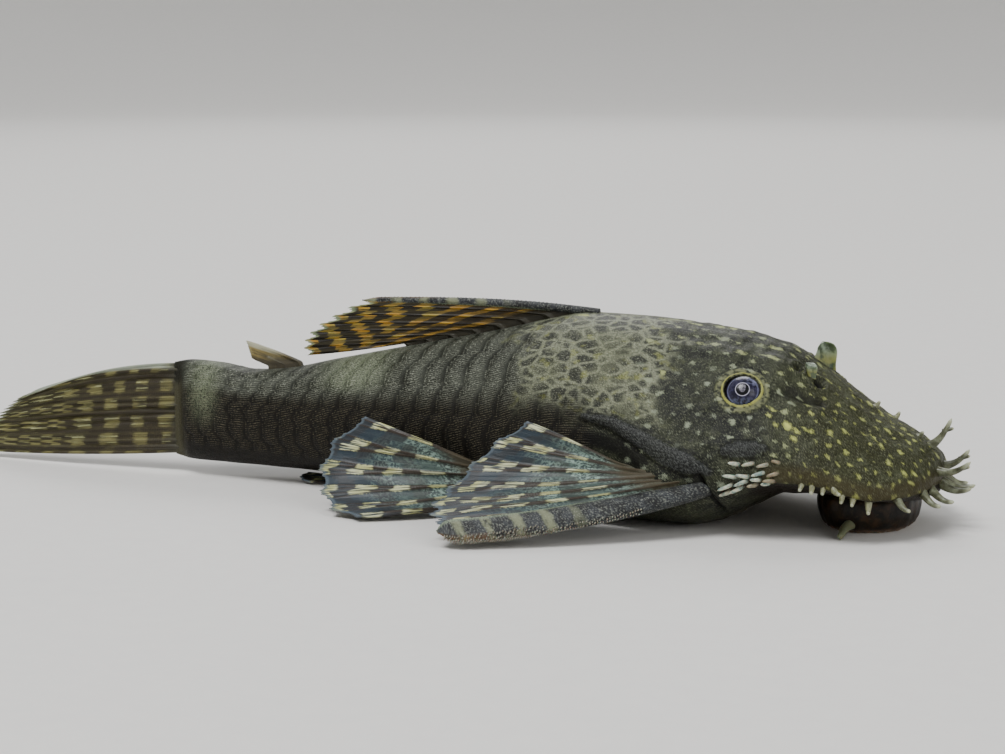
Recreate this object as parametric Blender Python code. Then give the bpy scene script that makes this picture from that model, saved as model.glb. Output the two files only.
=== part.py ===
import bpy
import bmesh
import math
import random
from mathutils import Vector, Matrix

MM = 0.001

# Lengths in millimetres. s runs back from the tip of the snout, y to the fish's left, z up.
NODE_GAP = 0.34
SEAM_GAP = 0.52
EYE_RADIUS = 2.35
EYE_STATION = 21.0
EYE_ANGLE = 45.5
EYE_SINK = 1.0
NOSTRIL_STATION = 14.9
NOSTRIL_SIDE = 3.7
GILL_STATION = 21.6
NAPE_SLANT = 14.4
DISC_STATION = 8.4
DISC_HALF_LENGTH = 5.9
DISC_HALF_WIDTH = 7.4
DISC_HEIGHT = 3.55
BARBEL_LENGTH = 4.6
MEMBRANE_HALF = 0.26
RAY_HALF = 0.44
SPINE_HALF = 0.78
PLATE_LIFT = 0.34
ROOT_SHARE = 0.17
CAUDAL_ROOT = 1.5
SIDE_CLEARANCE = 0.46
BACK_CLEARANCE = 0.4
TRUNK_PLATES = 12
TAIL_PLATES = 10
TRUNK_END = 69.0
TAIL_END = 95.7
SEED = 41
FLAP_TURN = 44.0
FLAP_HALF_WIDTH = 1.5
FLAP_HALF_THICK = 0.3
FLAP_HEIGHTS = {-1: 1.7, 1: 3.0}
CHEEK_ROWS = 3
CHEEK_PLACES = 6

# Plan angle of the body axis along its length, in degrees.
HEADING = [(0, 4.0), (30, 4.0), (46, 1.0), (60, -2.8), (78, -3.2), (96, -1.2), (132, 3.5)]

HALF_WIDTH = [(0, 0.0), (0.35, 4.3), (1.1, 6.9), (2.5, 9.4), (4.5, 11.4), (7, 12.9), (10, 13.9),
              (15, 14.7), (20, 15.3), (26, 15.7), (31, 15.4), (37, 14.5), (44, 13.2), (52, 11.7),
              (60, 10.1), (68, 8.3), (76, 6.5), (84, 4.9), (90, 3.9), (96, 3.2)]
TOP = [(0, 7.2), (0.4, 8.5), (2.3, 10.2), (4.9, 11.7), (7.6, 13.2), (10, 14.9), (12.5, 16.75),
       (16, 19.1), (18.2, 20.4), (22, 21.4), (25, 21.9), (30, 22.4), (36, 22.8), (43, 22.9),
       (48, 22.0), (54, 20.5), (60, 19.2), (68, 17.5), (76, 15.8), (83, 14.3), (87.5, 13.95),
       (92, 14.6), (96, 15.0)]
BOTTOM = [(0, 4.6), (1.5, 4.1), (4, 3.95), (16.2, 3.95), (20, 2.4), (24, 0.5), (27, 0.0), (62, 0.0),
          (66, 0.5), (70, 1.1), (76, 1.6), (84, 1.8), (96, 1.9)]
WIDEST = [(0, 5.7), (2, 5.3), (5, 5.2), (8, 5.9), (12, 7.0), (16, 7.2), (20, 7.0), (30, 7.0), (44, 7.4),
          (60, 7.8), (76, 8.2), (96, 9.0)]
ARCH = [(0, 1.75), (8, 1.6), (16, 1.5), (24, 1.55), (34, 1.75), (46, 1.9), (60, 1.95), (80, 2.1),
        (96, 2.3)]
UNDER = [(0, 1.8), (8, 1.5), (16, 1.7), (22, 2.7), (30, 3.6), (60, 3.4), (72, 2.4), (96, 2.2)]

# Tentacles of the snout's rim: station, turn away from straight ahead in degrees, fall, length.
RIM_TENTACLES = [(0.05, 8, -0.2, 4.1), (0.3, 17, -0.5, 3.6), (0.75, 27, -0.55, 3.3), (2.7, 34, -0.65, 2.6),
                 (5.3, 78, -1.4, 1.95), (6.8, 88, -1.4, 1.6), (7.9, 88, -1.4, 1.9), (9.1, 45, -0.45, 2.0),
                 (9.9, 90, -1.4, 1.6), (11.1, 88, -1.4, 2.0), (12.2, 95, -1.4, 1.8)]
# Tentacles above the rim: station, y, rise, length, length of the second tip.
CROWN_TENTACLES = [(1.5, 0.4, 1.25, 3.6, 1.0), (0.35, -1.6, 0.25, 4.2, 1.1), (0.35, 1.9, 0.55, 3.4, 1.0),
                   (2.9, 0.2, 1.2, 0.8, 0.0), (6.4, 3.0, 1.2, 0.9, 0.0), (8.2, 0.6, 1.2, 0.9, 0.0)]
# Plates on the skin: station, section angle, half width.
GILL_COVER = [(17.0, 20, 0.45), (18.3, 19.5, 0.95), (20.0, 18.5, 1.05), (21.6, 17.5, 0.6)]
SHOULDER = [(25.9, 7, 0.7), (28.0, 11, 1.3), (30.4, 15.5, 1.3), (34.0, 20, 1.1), (38.6, 21.5, 0.7)]
# The ring round the eye: lift from the skin, radius.
RIM_PROFILE = [(-0.9, 3.45), (0.1, 3.3), (0.5, 2.95), (0.55, 2.6), (0.3, 2.2), (-0.9, 2.1)]


def clear_scene():
    for obj in list(bpy.data.objects):
        bpy.data.objects.remove(obj, do_unlink=True)


def track(table, s):
    # Smooth curve through the table, held flat past its ends.
    if s <= table[0][0]:
        return table[0][1]
    if s >= table[-1][0]:
        return table[-1][1]
    for i in range(len(table) - 1):
        if s <= table[i + 1][0]:
            break
    x0, y0 = table[i]
    x1, y1 = table[i + 1]
    span = x1 - x0
    slope = (y1 - y0) / span

    def tangent(k):
        if k <= 0 or k >= len(table) - 1:
            return slope
        a = (table[k][1] - table[k - 1][1]) / (table[k][0] - table[k - 1][0])
        b = (table[k + 1][1] - table[k][1]) / (table[k + 1][0] - table[k][0])
        if a * b <= 0:
            return 0.0
        return 2 * a * b / (a + b)

    u = (s - x0) / span
    m0 = tangent(i) * span
    m1 = tangent(i + 1) * span
    return ((2 * u ** 3 - 3 * u ** 2 + 1) * y0 + (u ** 3 - 2 * u ** 2 + u) * m0
            + (3 * u ** 2 - 2 * u ** 3) * y1 + (u ** 3 - u ** 2) * m1)


def make_axis():
    step = 0.5
    points = [(0.0, 0.0)]
    x = y = 0.0
    for i in range(300):
        angle = math.radians(track(HEADING, (i + 0.5) * step))
        x -= math.cos(angle) * step
        y += math.sin(angle) * step
        points.append((x, y))
    return step, points


AXIS_STEP, AXIS = make_axis()


def bend(s, y, z):
    angle = math.radians(track(HEADING, s))
    k = min(max(s / AXIS_STEP, 0.0), len(AXIS) - 1.001)
    i = int(k)
    f = k - i
    ax = AXIS[i][0] * (1 - f) + AXIS[i + 1][0] * f
    ay = AXIS[i][1] * (1 - f) + AXIS[i + 1][1] * f
    if s < 0:
        ax = -s * math.cos(angle)
        ay = s * math.sin(angle)
    return Vector((ax + y * math.sin(angle), ay + y * math.cos(angle), z)) * MM


def outline(s, angle):
    # Half section: angle 90 is the back, 0 the widest level, -90 the belly.
    wide = track(HALF_WIDTH, s)
    level = track(WIDEST, s)
    a = math.radians(angle)
    c = max(math.cos(a), 0.0)
    if angle >= 0:
        power = 2.0 / track(ARCH, s)
        return wide * c ** power, level + (track(TOP, s) - level) * max(math.sin(a), 0.0) ** power
    power = 2.0 / track(UNDER, s)
    low = track(BOTTOM, s)
    z = level - (level - low + 0.25) * max(-math.sin(a), 0.0) ** power
    return wide * c ** power, max(z, low)


def side_at(s, z):
    # Half width of the body at height z.
    wide = track(HALF_WIDTH, s)
    level = track(WIDEST, s)
    if z >= level:
        n = track(ARCH, s)
        k = (z - level) / max(track(TOP, s) - level, 0.01)
    else:
        n = track(UNDER, s)
        k = (level - z) / max(level - track(BOTTOM, s) + 0.25, 0.01)
    if k >= 1:
        return 0.0
    return wide * (1 - k ** n) ** (1 / n)


def skin_point(s, angle, side, lift=0.0):
    y, z = outline(s, angle)
    y2, z2 = outline(s, angle + 1.5)
    y1, z1 = outline(s, angle - 1.5)
    ty, tz = y2 - y1, z2 - z1
    size = math.hypot(ty, tz) or 1.0
    ny, nz = tz / size, -ty / size
    return s, side * (y + ny * lift), z + nz * lift


def add_object(name, verts, faces):
    mesh = bpy.data.meshes.new(name)
    mesh.from_pydata([tuple(v) for v in verts], [], faces)
    mesh.validate()
    bm = bmesh.new()
    bm.from_mesh(mesh)
    bmesh.ops.remove_doubles(bm, verts=bm.verts[:], dist=1e-7)
    bmesh.ops.triangulate(bm, faces=[f for f in bm.faces if len(f.verts) > 3])
    bmesh.ops.recalc_face_normals(bm, faces=bm.faces[:])
    bm.to_mesh(mesh)
    bm.free()
    obj = bpy.data.objects.new(name, mesh)
    bpy.context.scene.collection.objects.link(obj)
    return obj


def lofted(name, rings, front=None, rear=None):
    # Rings of equal count joined in order, each end closed by a fan.
    count = len(rings[0])
    verts = [p for ring in rings for p in ring]
    faces = []
    for r in range(len(rings) - 1):
        for i in range(count):
            j = (i + 1) % count
            a, b = r * count + i, r * count + j
            c, d = a + count, b + count
            faces.append((a, b, d))
            faces.append((a, d, c))
    for ring_index, tip in ((0, front), (len(rings) - 1, rear)):
        ring = rings[ring_index]
        if tip is None:
            tip = sum((Vector(p) for p in ring), Vector()) / count
        verts.append(tip)
        k = len(verts) - 1
        base = ring_index * count
        for i in range(count):
            j = (i + 1) % count
            faces.append((k, base + j, base + i) if ring_index == 0 else (k, base + i, base + j))
    return add_object(name, verts, faces)


def tube(name, points, radii, sides):
    # Closed tapering tube through bent points, ending in a tip.
    pts = [Vector(p) for p in points]
    rings = []
    normal = None
    for i in range(len(pts) - 1):
        ahead = (pts[i + 1] - pts[max(i - 1, 0)]).normalized()
        if normal is None:
            normal = ahead.orthogonal().normalized()
        normal = (normal - ahead * normal.dot(ahead)).normalized()
        other = ahead.cross(normal)
        ring = []
        for k in range(sides):
            a = 2 * math.pi * k / sides
            ring.append(pts[i] + (normal * math.cos(a) + other * math.sin(a)) * radii[i] * MM)
        rings.append(ring)
    return lofted(name, rings, rear=pts[-1])


def apply_boolean(obj, operation, other=None, group=None, solver='EXACT'):
    mod = obj.modifiers.new("join", 'BOOLEAN')
    mod.operation = operation
    mod.solver = solver
    if group is not None:
        mod.operand_type = 'COLLECTION'
        mod.collection = group
    else:
        mod.object = other
    depsgraph = bpy.context.evaluated_depsgraph_get()
    mesh = bpy.data.meshes.new_from_object(obj.evaluated_get(depsgraph))
    obj.modifiers.clear()
    obj.data = mesh


def keep_largest(obj):
    bm = bmesh.new()
    bm.from_mesh(obj.data)
    bmesh.ops.remove_doubles(bm, verts=bm.verts[:], dist=2e-6)
    bmesh.ops.dissolve_degenerate(bm, dist=1e-6, edges=bm.edges[:])
    bmesh.ops.triangulate(bm, faces=bm.faces[:])
    seen = set()
    best = []
    for start in bm.faces:
        if start in seen:
            continue
        seen.add(start)
        stack = [start]
        part = []
        while stack:
            face = stack.pop()
            part.append(face)
            for edge in face.edges:
                for near in edge.link_faces:
                    if near not in seen:
                        seen.add(near)
                        stack.append(near)
        if len(part) > len(best):
            best = part
    chosen = set(best)
    bmesh.ops.delete(bm, geom=[f for f in bm.faces if f not in chosen], context='FACES')
    bmesh.ops.recalc_face_normals(bm, faces=bm.faces[:])
    bm.to_mesh(obj.data)
    bm.free()


def join_all(obj, pieces, solver='EXACT'):
    group = bpy.data.collections.new("pieces")
    bpy.context.scene.collection.children.link(group)
    for piece in pieces:
        bpy.context.scene.collection.objects.unlink(piece)
        group.objects.link(piece)
    apply_boolean(obj, 'UNION', group=group, solver=solver)
    for piece in pieces:
        bpy.data.objects.remove(piece, do_unlink=True)
    bpy.data.collections.remove(group)
    keep_largest(obj)


def cut(obj, cutter):
    cutter.hide_render = True
    cutter.display_type = 'WIRE'
    apply_boolean(obj, 'DIFFERENCE', other=cutter)
    bpy.data.objects.remove(cutter, do_unlink=True)
    keep_largest(obj)


def ball(name, centre, radius, detail):
    bm = bmesh.new()
    bmesh.ops.create_icosphere(bm, subdivisions=detail, radius=radius * MM)
    mesh = bpy.data.meshes.new(name)
    bm.to_mesh(mesh)
    bm.free()
    obj = bpy.data.objects.new(name, mesh)
    mesh.transform(Matrix.Translation(centre))
    bpy.context.scene.collection.objects.link(obj)
    return obj


def finish(obj, colour, roughness):
    mat = bpy.data.materials.new(obj.name)
    mat.use_nodes = True
    shader = mat.node_tree.nodes["Principled BSDF"]
    shader.inputs["Base Color"].default_value = (*colour, 1)
    shader.inputs["Roughness"].default_value = roughness
    shader.inputs["Metallic"].default_value = 0.0
    obj.data.materials.clear()
    obj.data.materials.append(mat)
    obj.data.shade_smooth()
    obj.data.set_sharp_from_angle(angle=math.radians(38))


def gill_line(angle):
    # The head ends on a slant, from the gill opening up to the nape.
    return GILL_STATION + NAPE_SLANT * (0.5 + 0.5 * math.sin(math.radians(angle))) ** 2.8


def round_section(stations, lifts=None):
    # stations and lifts are functions of the half-section angle.
    ring = []
    for side, angles in ((-1, SECTION_ANGLES), (1, SECTION_ANGLES[-2:0:-1])):
        for angle in angles:
            s = stations(angle)
            lift = lifts(angle) if lifts else 0.0
            ring.append(bend(*skin_point(s, angle, side, lift)))
    return ring


SECTION_ANGLES = [90, 78, 66, 54, 43, 32, 21, 10, -1, -13, -25, -38, -52, -66, -78, -90]
ROW_EDGES = (66, 43, 21, -1, -25)


def head_solid():
    # Sections start upright at the snout and lean more and more toward the slant of the gill line.
    rings = []
    for f in (0.012, 0.04, 0.085, 0.14, 0.2, 0.26, 0.33, 0.4, 0.47, 0.54, 0.61, 0.68, 0.75, 0.82,
              0.9, 1.0):
        rings.append(round_section(lambda a, f=f: f * (GILL_STATION * (1 - f) + f
                                                       * (gill_line(a) - SEAM_GAP / 2))))
    return lofted("head", rings, front=bend(0.0, 0.0, 6.3))


def plate_lift(angle, height):
    # Plates stand proud on back and flank and fade out toward the belly and the back's midline.
    fade = min(max((angle + 34) / 12, 0.0), 1.0) * min(max((88 - angle) / 12, 0.0), 1.0)
    seam = 0.35 if angle in ROW_EDGES else 1.0
    return height * fade * seam


def plated_solid(name, count, start, stop):
    # Every ring of plates rises from its front edge to its rear edge, then steps down.
    rings = [round_section(start)]
    for i in range(count):
        for place, height in ((0.1, 0.0), (0.94, PLATE_LIFT)):
            f = (i + place) / count

            def station(angle, f=f, height=height):
                a, b = start(angle), stop(angle)
                lean = 0.0 if angle in ROW_EDGES or height == 0 else 0.05 * (b - a) / count
                return a + (b - a) * min(f, 0.995) + lean * (1 if f < 0.9 else 0)
            rings.append(round_section(station, lambda a, h=height: plate_lift(a, h)))
    rings.append(round_section(stop))
    return lofted(name, rings)


def eye_centre(side, lift=0.0):
    return skin_point(EYE_STATION, EYE_ANGLE, side, lift - EYE_SINK)


def fin_sheet(name, rays, halves, rows, webs, side=1, clear=None, flat=None, pleat=0.0,
              scallop=0.05, stout=0, root=0.0):
    # rays: for each ray its (base, bow, tip) in straight coordinates; halves: its half thickness.
    # The first stout intervals are solid spine, not membrane; root thickens the sheet at its base.
    def along(ray, v):
        base, bow, tip = (Vector(p) for p in ray)
        return base * (1 - v) ** 2 + bow * 2 * v * (1 - v) + tip * v ** 2

    def across(u, v):
        k = min(int(u), len(rays) - 2)
        f = u - k
        p1, p2 = along(rays[k], v), along(rays[k + 1], v)
        p0 = along(rays[k - 1], v) if k > 0 else p1 * 2 - p2
        p3 = along(rays[k + 2], v) if k + 2 < len(rays) else p2 * 2 - p1
        return 0.5 * ((2 * p1) + (p2 - p0) * f + (2 * p0 - 5 * p1 + 4 * p2 - p3) * f ** 2
                      + (3 * p1 - p0 - 3 * p2 + p3) * f ** 3)

    columns = []
    for k in range(len(rays)):
        columns.append((float(k), halves[k]))
        if k < stout:
            columns.append((k + 0.5, 0.55 * (halves[k] + halves[k + 1])))
        elif k < len(rays) - 1:
            for w in range(webs):
                columns.append((k + (w + 1) / (webs + 1), None))
    grid = []
    for u, half in columns:
        line = []
        for r in range(rows + 1):
            v = r / rows
            web = u - int(u) if u > stout else 0.0
            pull = 1 - scallop * (4 * web * (1 - web)) * v ** 4
            p = across(u, v * pull)
            fold = pleat * math.sin(math.pi * web) * v
            thick = MEMBRANE_HALF if half is None else MEMBRANE_HALF + (half - MEMBRANE_HALF) \
                * (1 - 0.75 * v)
            thick *= 1.0 - 0.08 * v
            thick += root * max(0.0, 1 - v / ROOT_SHARE) ** 1.5
            line.append((p, thick, fold))
        grid.append(line)
    cols, count = len(grid), rows + 1
    front, back = [], []
    for c in range(cols):
        for r in range(count):
            p, thick, fold = grid[c][r]
            pc = grid[min(c + 1, cols - 1)][r][0] - grid[max(c - 1, 0)][r][0]
            pr = grid[c][min(r + 1, rows)][0] - grid[c][max(r - 1, 0)][0]
            n = pc.cross(pr)
            n = n.normalized() if n.length > 1e-6 else Vector((0, 1, 0))
            for out, sign in ((front, 1), (back, -1)):
                q = p + n * (thick * sign + fold)
                if clear:
                    q = clear(q)
                if flat is not None and q.z < flat:
                    q.z = flat
                out.append(bend(q.x, q.y * side, q.z))
    verts = front + back
    shift = len(front)
    faces = []
    for c in range(cols - 1):
        for r in range(rows):
            a, b = c * count + r, (c + 1) * count + r
            faces += [(a, b, b + 1), (a, b + 1, a + 1)]
            faces += [(a + shift, b + 1 + shift, b + shift), (a + shift, a + 1 + shift, b + 1 + shift)]
    rim = [c * count for c in range(cols)]
    rim += [(cols - 1) * count + r for r in range(1, count)]
    rim += [c * count + rows for c in range(cols - 2, -1, -1)]
    rim += [r for r in range(rows - 1, 0, -1)]
    for i in range(len(rim)):
        a, b = rim[i], rim[(i + 1) % len(rim)]
        faces += [(a, a + shift, b + shift), (a, b + shift, b)]
    return add_object(name, verts, faces)


def lerp3(a, b, f):
    return tuple(a[i] + (b[i] - a[i]) * f for i in range(3))


def bowed(base, tip, bow):
    mid = [(base[i] + tip[i]) / 2 + bow[i] for i in range(3)]
    return base, tuple(mid), tip


def clear_side(q):
    # Keeps a paired fin off the flank.
    limit = side_at(q.x, q.z) + SIDE_CLEARANCE + PLATE_LIFT * (1.0 if q.x > 28 else 0.0)
    if abs(q.y) < limit:
        q = Vector((q.x, -limit if q.y < 0 else limit, q.z))
    return q


def pectoral(name, side):
    tips = [(50.4, -31.9, 1.0), (52.6, -30.4, 2.6), (54.6, -28.2, 3.0), (55.6, -25.0, 3.4),
            (54.8, -21.6, 4.6), (52.4, -19.2, 7.1), (49.3, -17.8, 9.9), (45.3, -17.1, 12.3)]
    first, last = (26.6, -16.7, 5.2), (32.4, -16.25, 7.5)
    edge_shift = (-1.0, -0.5, -0.5)
    rays = []
    for k, tip in enumerate(tips):
        f = max(k - 1, 0) / (len(tips) - 2)
        base = lerp3(first, last, f ** 0.8)
        bow = (0.4, -1.4 - 1.4 * math.sin(math.pi * f), -1.2 + 2.4 * f)
        if k == 0:
            base = tuple(base[i] + edge_shift[i] for i in range(3))
            bow = (0.0, -2.1, -1.4)
        rays.append(bowed(base, tip, bow))
    halves = [0.5, SPINE_HALF + 0.3] + [RAY_HALF] * (len(tips) - 2)
    return fin_sheet(name, rays, halves, 9, 2, side=-side, clear=clear_side, flat=0.0, stout=1)


def pelvic(name, side):
    tips = [(66.0, -21.9, 0.7), (70.0, -20.0, 0.9), (72.4, -17.2, 2.3), (73.6, -14.4, 4.7),
            (72.4, -12.9, 7.8), (68.2, -12.4, 10.9)]
    first, last = (50.6, -11.3, 1.6), (54.6, -12.6, 6.4)
    rays = []
    for k, tip in enumerate(tips):
        f = k / (len(tips) - 1)
        base = lerp3(first, last, f)
        rays.append(bowed(base, tip, (0.0, -2.6 - 0.4 * f, -0.4 + 1.4 * f)))
    halves = [RAY_HALF + 0.22] + [RAY_HALF] * (len(tips) - 1)
    return fin_sheet(name, rays, halves, 8, 2, side=-side, clear=clear_side, flat=0.0)


def over_back(until):
    def check(q):
        floor = track(TOP, q.x) + BACK_CLEARANCE + (PLATE_LIFT if q.x > until else 0.0)
        spread = side_at(q.x, q.z)
        if q.z < floor and spread + 0.2 > abs(q.y):
            q = Vector((q.x, q.y, floor))
        return q
    return check


def dorsal():
    tips = [(72.7, 23.25), (75.1, 22.3), (77.2, 21.1), (78.9, 20.0), (80.1, 18.9), (80.7, 17.9),
            (80.8, 16.9), (80.2, 16.0)]
    rays = []
    for k, (s, z) in enumerate(tips):
        f = k / (len(tips) - 1)
        base_s = 44.6 + 22.0 * f
        base = (base_s, 0.0, track(TOP, base_s) + NODE_GAP)
        rise = 0.8 - 1.1 * f ** 2
        rays.append(bowed(base, (s, 0.0, z), (-1.0 * (1 - f), 0.0, rise)))
    halves = [SPINE_HALF] + [RAY_HALF] * (len(tips) - 1)
    return fin_sheet("dorsal_fin", rays, halves, 9, 2, clear=over_back(66.0), pleat=0.25)


def adipose():
    rays = []
    for k, (base_s, tip) in enumerate(((80.6, (88.6, 17.6)), (83.0, (88.2, 16.4)),
                                       (85.4, (87.8, 15.3)))):
        base = (base_s, 0.0, track(TOP, base_s) + NODE_GAP)
        rays.append(bowed(base, (tip[0], 0.0, tip[1]), (0.0, 0.0, 0.4 - 0.2 * k)))
    return fin_sheet("adipose_fin", rays, [0.6, 0.34, 0.3], 5, 1, clear=over_back(80.0),
                     scallop=0.0)


def anal():
    rays = []
    for k, tip in enumerate(((79.0, -3.3, 0.36), (80.2, -2.7, 0.5), (80.8, -1.9, 0.66), (80.8, -1.0, 0.84),
                             (80.2, -0.1, 1.0))):
        base_s = 70.8 + 1.1 * k
        base = (base_s, -0.45 * (1 - k / 4), 0.36 + 0.13 * k)
        rays.append(bowed(base, tip, (0.0, -0.3, 0.0)))

    def under(q):
        roof = track(BOTTOM, q.x) - NODE_GAP
        return Vector((q.x, q.y, min(q.z, roof)))
    return fin_sheet("anal_fin", rays, [0.42] + [0.36] * 4, 6, 1, clear=under, flat=0.0, scallop=0.0)


def caudal():
    count = 16
    rays = []
    halves = []
    for k in range(count):
        f = k / (count - 1)
        base = (96.05, 0.0, 14.2 - 11.5 * f)
        drop = 7.9 * (1 - f) + 0.62 * f
        reach = 121.2 + 10.2 * f ** 0.7
        rays.append(bowed(base, (reach, 0.7 * math.sin(math.pi * f), drop),
                          (0.0, 0.0, 2.3 * (1 - f) - 0.7 * f)))
        halves.append(0.62 if k in (0, count - 1) else 0.46)
    return fin_sheet("caudal_fin", rays, halves, 9, 1, flat=0.0, scallop=0.04, root=CAUDAL_ROOT)


def mouth_disc():
    # A round sucker: lips with a flat rim below and a shallow cup around the mouth.
    rings = []
    profile = [(0.30, 0.9), (0.46, 0.75), (0.58, 0.0), (0.8, 0.0), (0.94, 0.6), (1.0, 1.6),
               (0.95, 2.8), (0.8, DISC_HEIGHT)]
    sides = 36
    for size, z in profile:
        ring = []
        for i in range(sides):
            a = 2 * math.pi * i / sides
            wide = DISC_HALF_WIDTH * size
            long = DISC_HALF_LENGTH * size
            ring.append(bend(DISC_STATION + long * math.cos(a), wide * math.sin(a), z))
        rings.append(ring)
    disc = lofted("mouth_disc", rings)
    pieces = []
    for side in (-1, 1):
        s, y = DISC_STATION + 0.2, DISC_HALF_WIDTH - 1.2
        pts = [bend(s + 0.25 * k, side * (y + k * BARBEL_LENGTH / 3), 1.25 - 0.3 * k) for k in range(4)]
        pieces.append(tube("barbel", pts, [0.8, 0.6, 0.4], 6))
    join_all(disc, pieces)
    return disc


def crown(s, y):
    # Height of the upper surface over a point of the head.
    level = track(WIDEST, s)
    n = track(ARCH, s)
    share = min(abs(y) / track(HALF_WIDTH, s), 1.0)
    return level + (track(TOP, s) - level) * (1 - share ** n) ** (1 / n)


def nostril_flap(side):
    # The skin flap that stands between the two openings of a nostril.
    s, y = NOSTRIL_STATION, side * NOSTRIL_SIDE
    z = crown(s, y)
    turn = math.radians(FLAP_TURN)
    rings = []
    for share, size in ((-0.35, 0.75), (0.2, 0.8), (0.62, 1.0), (0.88, 0.75), (1.0, 0.35)):
        rise = share * FLAP_HEIGHTS[side]
        ring = []
        for i in range(8):
            a = 2 * math.pi * i / 8
            along, across = FLAP_HALF_THICK * math.cos(a), FLAP_HALF_WIDTH * size * math.sin(a)
            ring.append(bend(s + along * math.cos(turn) - across * math.sin(turn) + rise * 0.12,
                             y + side * (along * math.sin(turn) + across * math.cos(turn)), z + rise))
        rings.append(ring)
    return lofted("flap", rings)


def nostril_pits(side):
    # One opening before the flap and one behind it.
    pits = []
    for ahead, radius in ((-1.35, 0.85), (1.25, 0.75)):
        s, y = NOSTRIL_STATION + ahead, side * (NOSTRIL_SIDE + 0.2)
        pits.append(ball("pit", bend(s, y, crown(s, y) + 0.2), radius, 1))
    return pits


def tentacle(base, direction, length, width, fork=0.0):
    # base and direction in straight coordinates; a fork is a short second tip.
    base, direction = Vector(base), Vector(direction).normalized()
    bow = Vector((0.0, 0.0, 0.1 * length))
    pts = [base - direction * 1.1, base + direction * length * 0.35 - bow * 0.3,
           base + direction * length * 0.72, base + direction * length + bow * 0.6]
    pieces = [tube("tentacle", [bend(*p) for p in pts], [width, width * 0.85, width * 0.6], 6)]
    if fork > 0:
        split = base + direction * length * 0.78
        swing = Vector((-1.0, 0.1, 0.3)).normalized()
        pts = [split - direction * 0.4, split + swing * fork * 0.5, split + swing * fork]
        pieces.append(tube("tentacle", [bend(*p) for p in pts], [width * 0.62, width * 0.5], 5))
    return pieces


def snout_tentacles(side):
    # Fleshy tentacles stand along the rim of the snout, longest at its front.
    pieces = []
    for s, turn, fall, length in RIM_TENTACLES:
        lean = math.radians(turn)
        lift = -0.15 + 0.65 * min(max((s - 5) / 3, 0.0), 1.0)
        root = (s + 0.3, side * track(HALF_WIDTH, s) * 0.97, track(WIDEST, s) + lift)
        direction = (-math.cos(lean), side * math.sin(lean), fall)
        pieces += tentacle(root, direction, length, 0.4 + 0.06 * length)
    return pieces


def crown_tentacles():
    # The longer forked ones grow higher, near the middle of the snout.
    pieces = []
    for s, y, rise, length, fork in CROWN_TENTACLES:
        root = (s, y, crown(s + 0.3, y) - 0.3 if s > 1 else 7.0)
        pieces += tentacle(root, (-1.0, 0.1 * y, rise), length, 0.58 if length > 1 else 0.42, fork)
    return pieces


def cheek_spines(side):
    # Hooked bristles of the cheek, in rows below the gill cover.
    random.seed(SEED)
    pieces = []
    for row in range(CHEEK_ROWS):
        for place in range(CHEEK_PLACES):
            s = 15.5 + place * 1.05 + row * 0.3
            angle = 12 - row * 8 - place * 0.9
            length = 1.3 + 0.7 * place / CHEEK_PLACES + random.uniform(-0.2, 0.2)
            root = skin_point(s, angle, side, -0.5)
            mid = skin_point(s + 0.35, angle - 2, side, length * 0.55)
            tip = skin_point(s + 1.3, angle - 6, side, length * 0.75)
            pieces.append(tube("bristle", [bend(*root), bend(*mid), bend(*tip)], [0.36, 0.3], 4))
    return pieces


def skin_plate(name, path, side, thick):
    # A bony plate that lies on the skin: path holds station, angle and half width.
    points = [Vector(skin_point(s, angle, side, 0.0)) for s, angle, _ in path]
    rings = []
    for i, (s, angle, half) in enumerate(path):
        ahead = points[min(i + 1, len(path) - 1)] - points[max(i - 1, 0)]
        ahead.normalize()
        out = (Vector(skin_point(s, angle, side, 1.0)) - points[i]).normalized()
        wide = ahead.cross(out).normalized()
        ring = []
        for k in range(8):
            a = 2 * math.pi * k / 8
            p = points[i] + wide * half * math.cos(a) + out * thick * math.sin(a)
            ring.append(bend(*p))
        rings.append(ring)
    return lofted(name, rings)


def orbit_rim(side):
    # The raised bony ring round the eye.
    rim = bend(*skin_point(EYE_STATION, EYE_ANGLE, side, -0.1))
    axis = (rim - bend(*eye_centre(side))).normalized()
    first = axis.orthogonal().normalized()
    second = axis.cross(first)
    rings = []
    for lift, size in RIM_PROFILE:
        ring = []
        for i in range(20):
            a = 2 * math.pi * i / 20
            ring.append(rim + axis * lift * MM + (first * math.cos(a) + second * math.sin(a)) * size * MM)
        rings.append(ring)
    return lofted("rim", rings)


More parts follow.
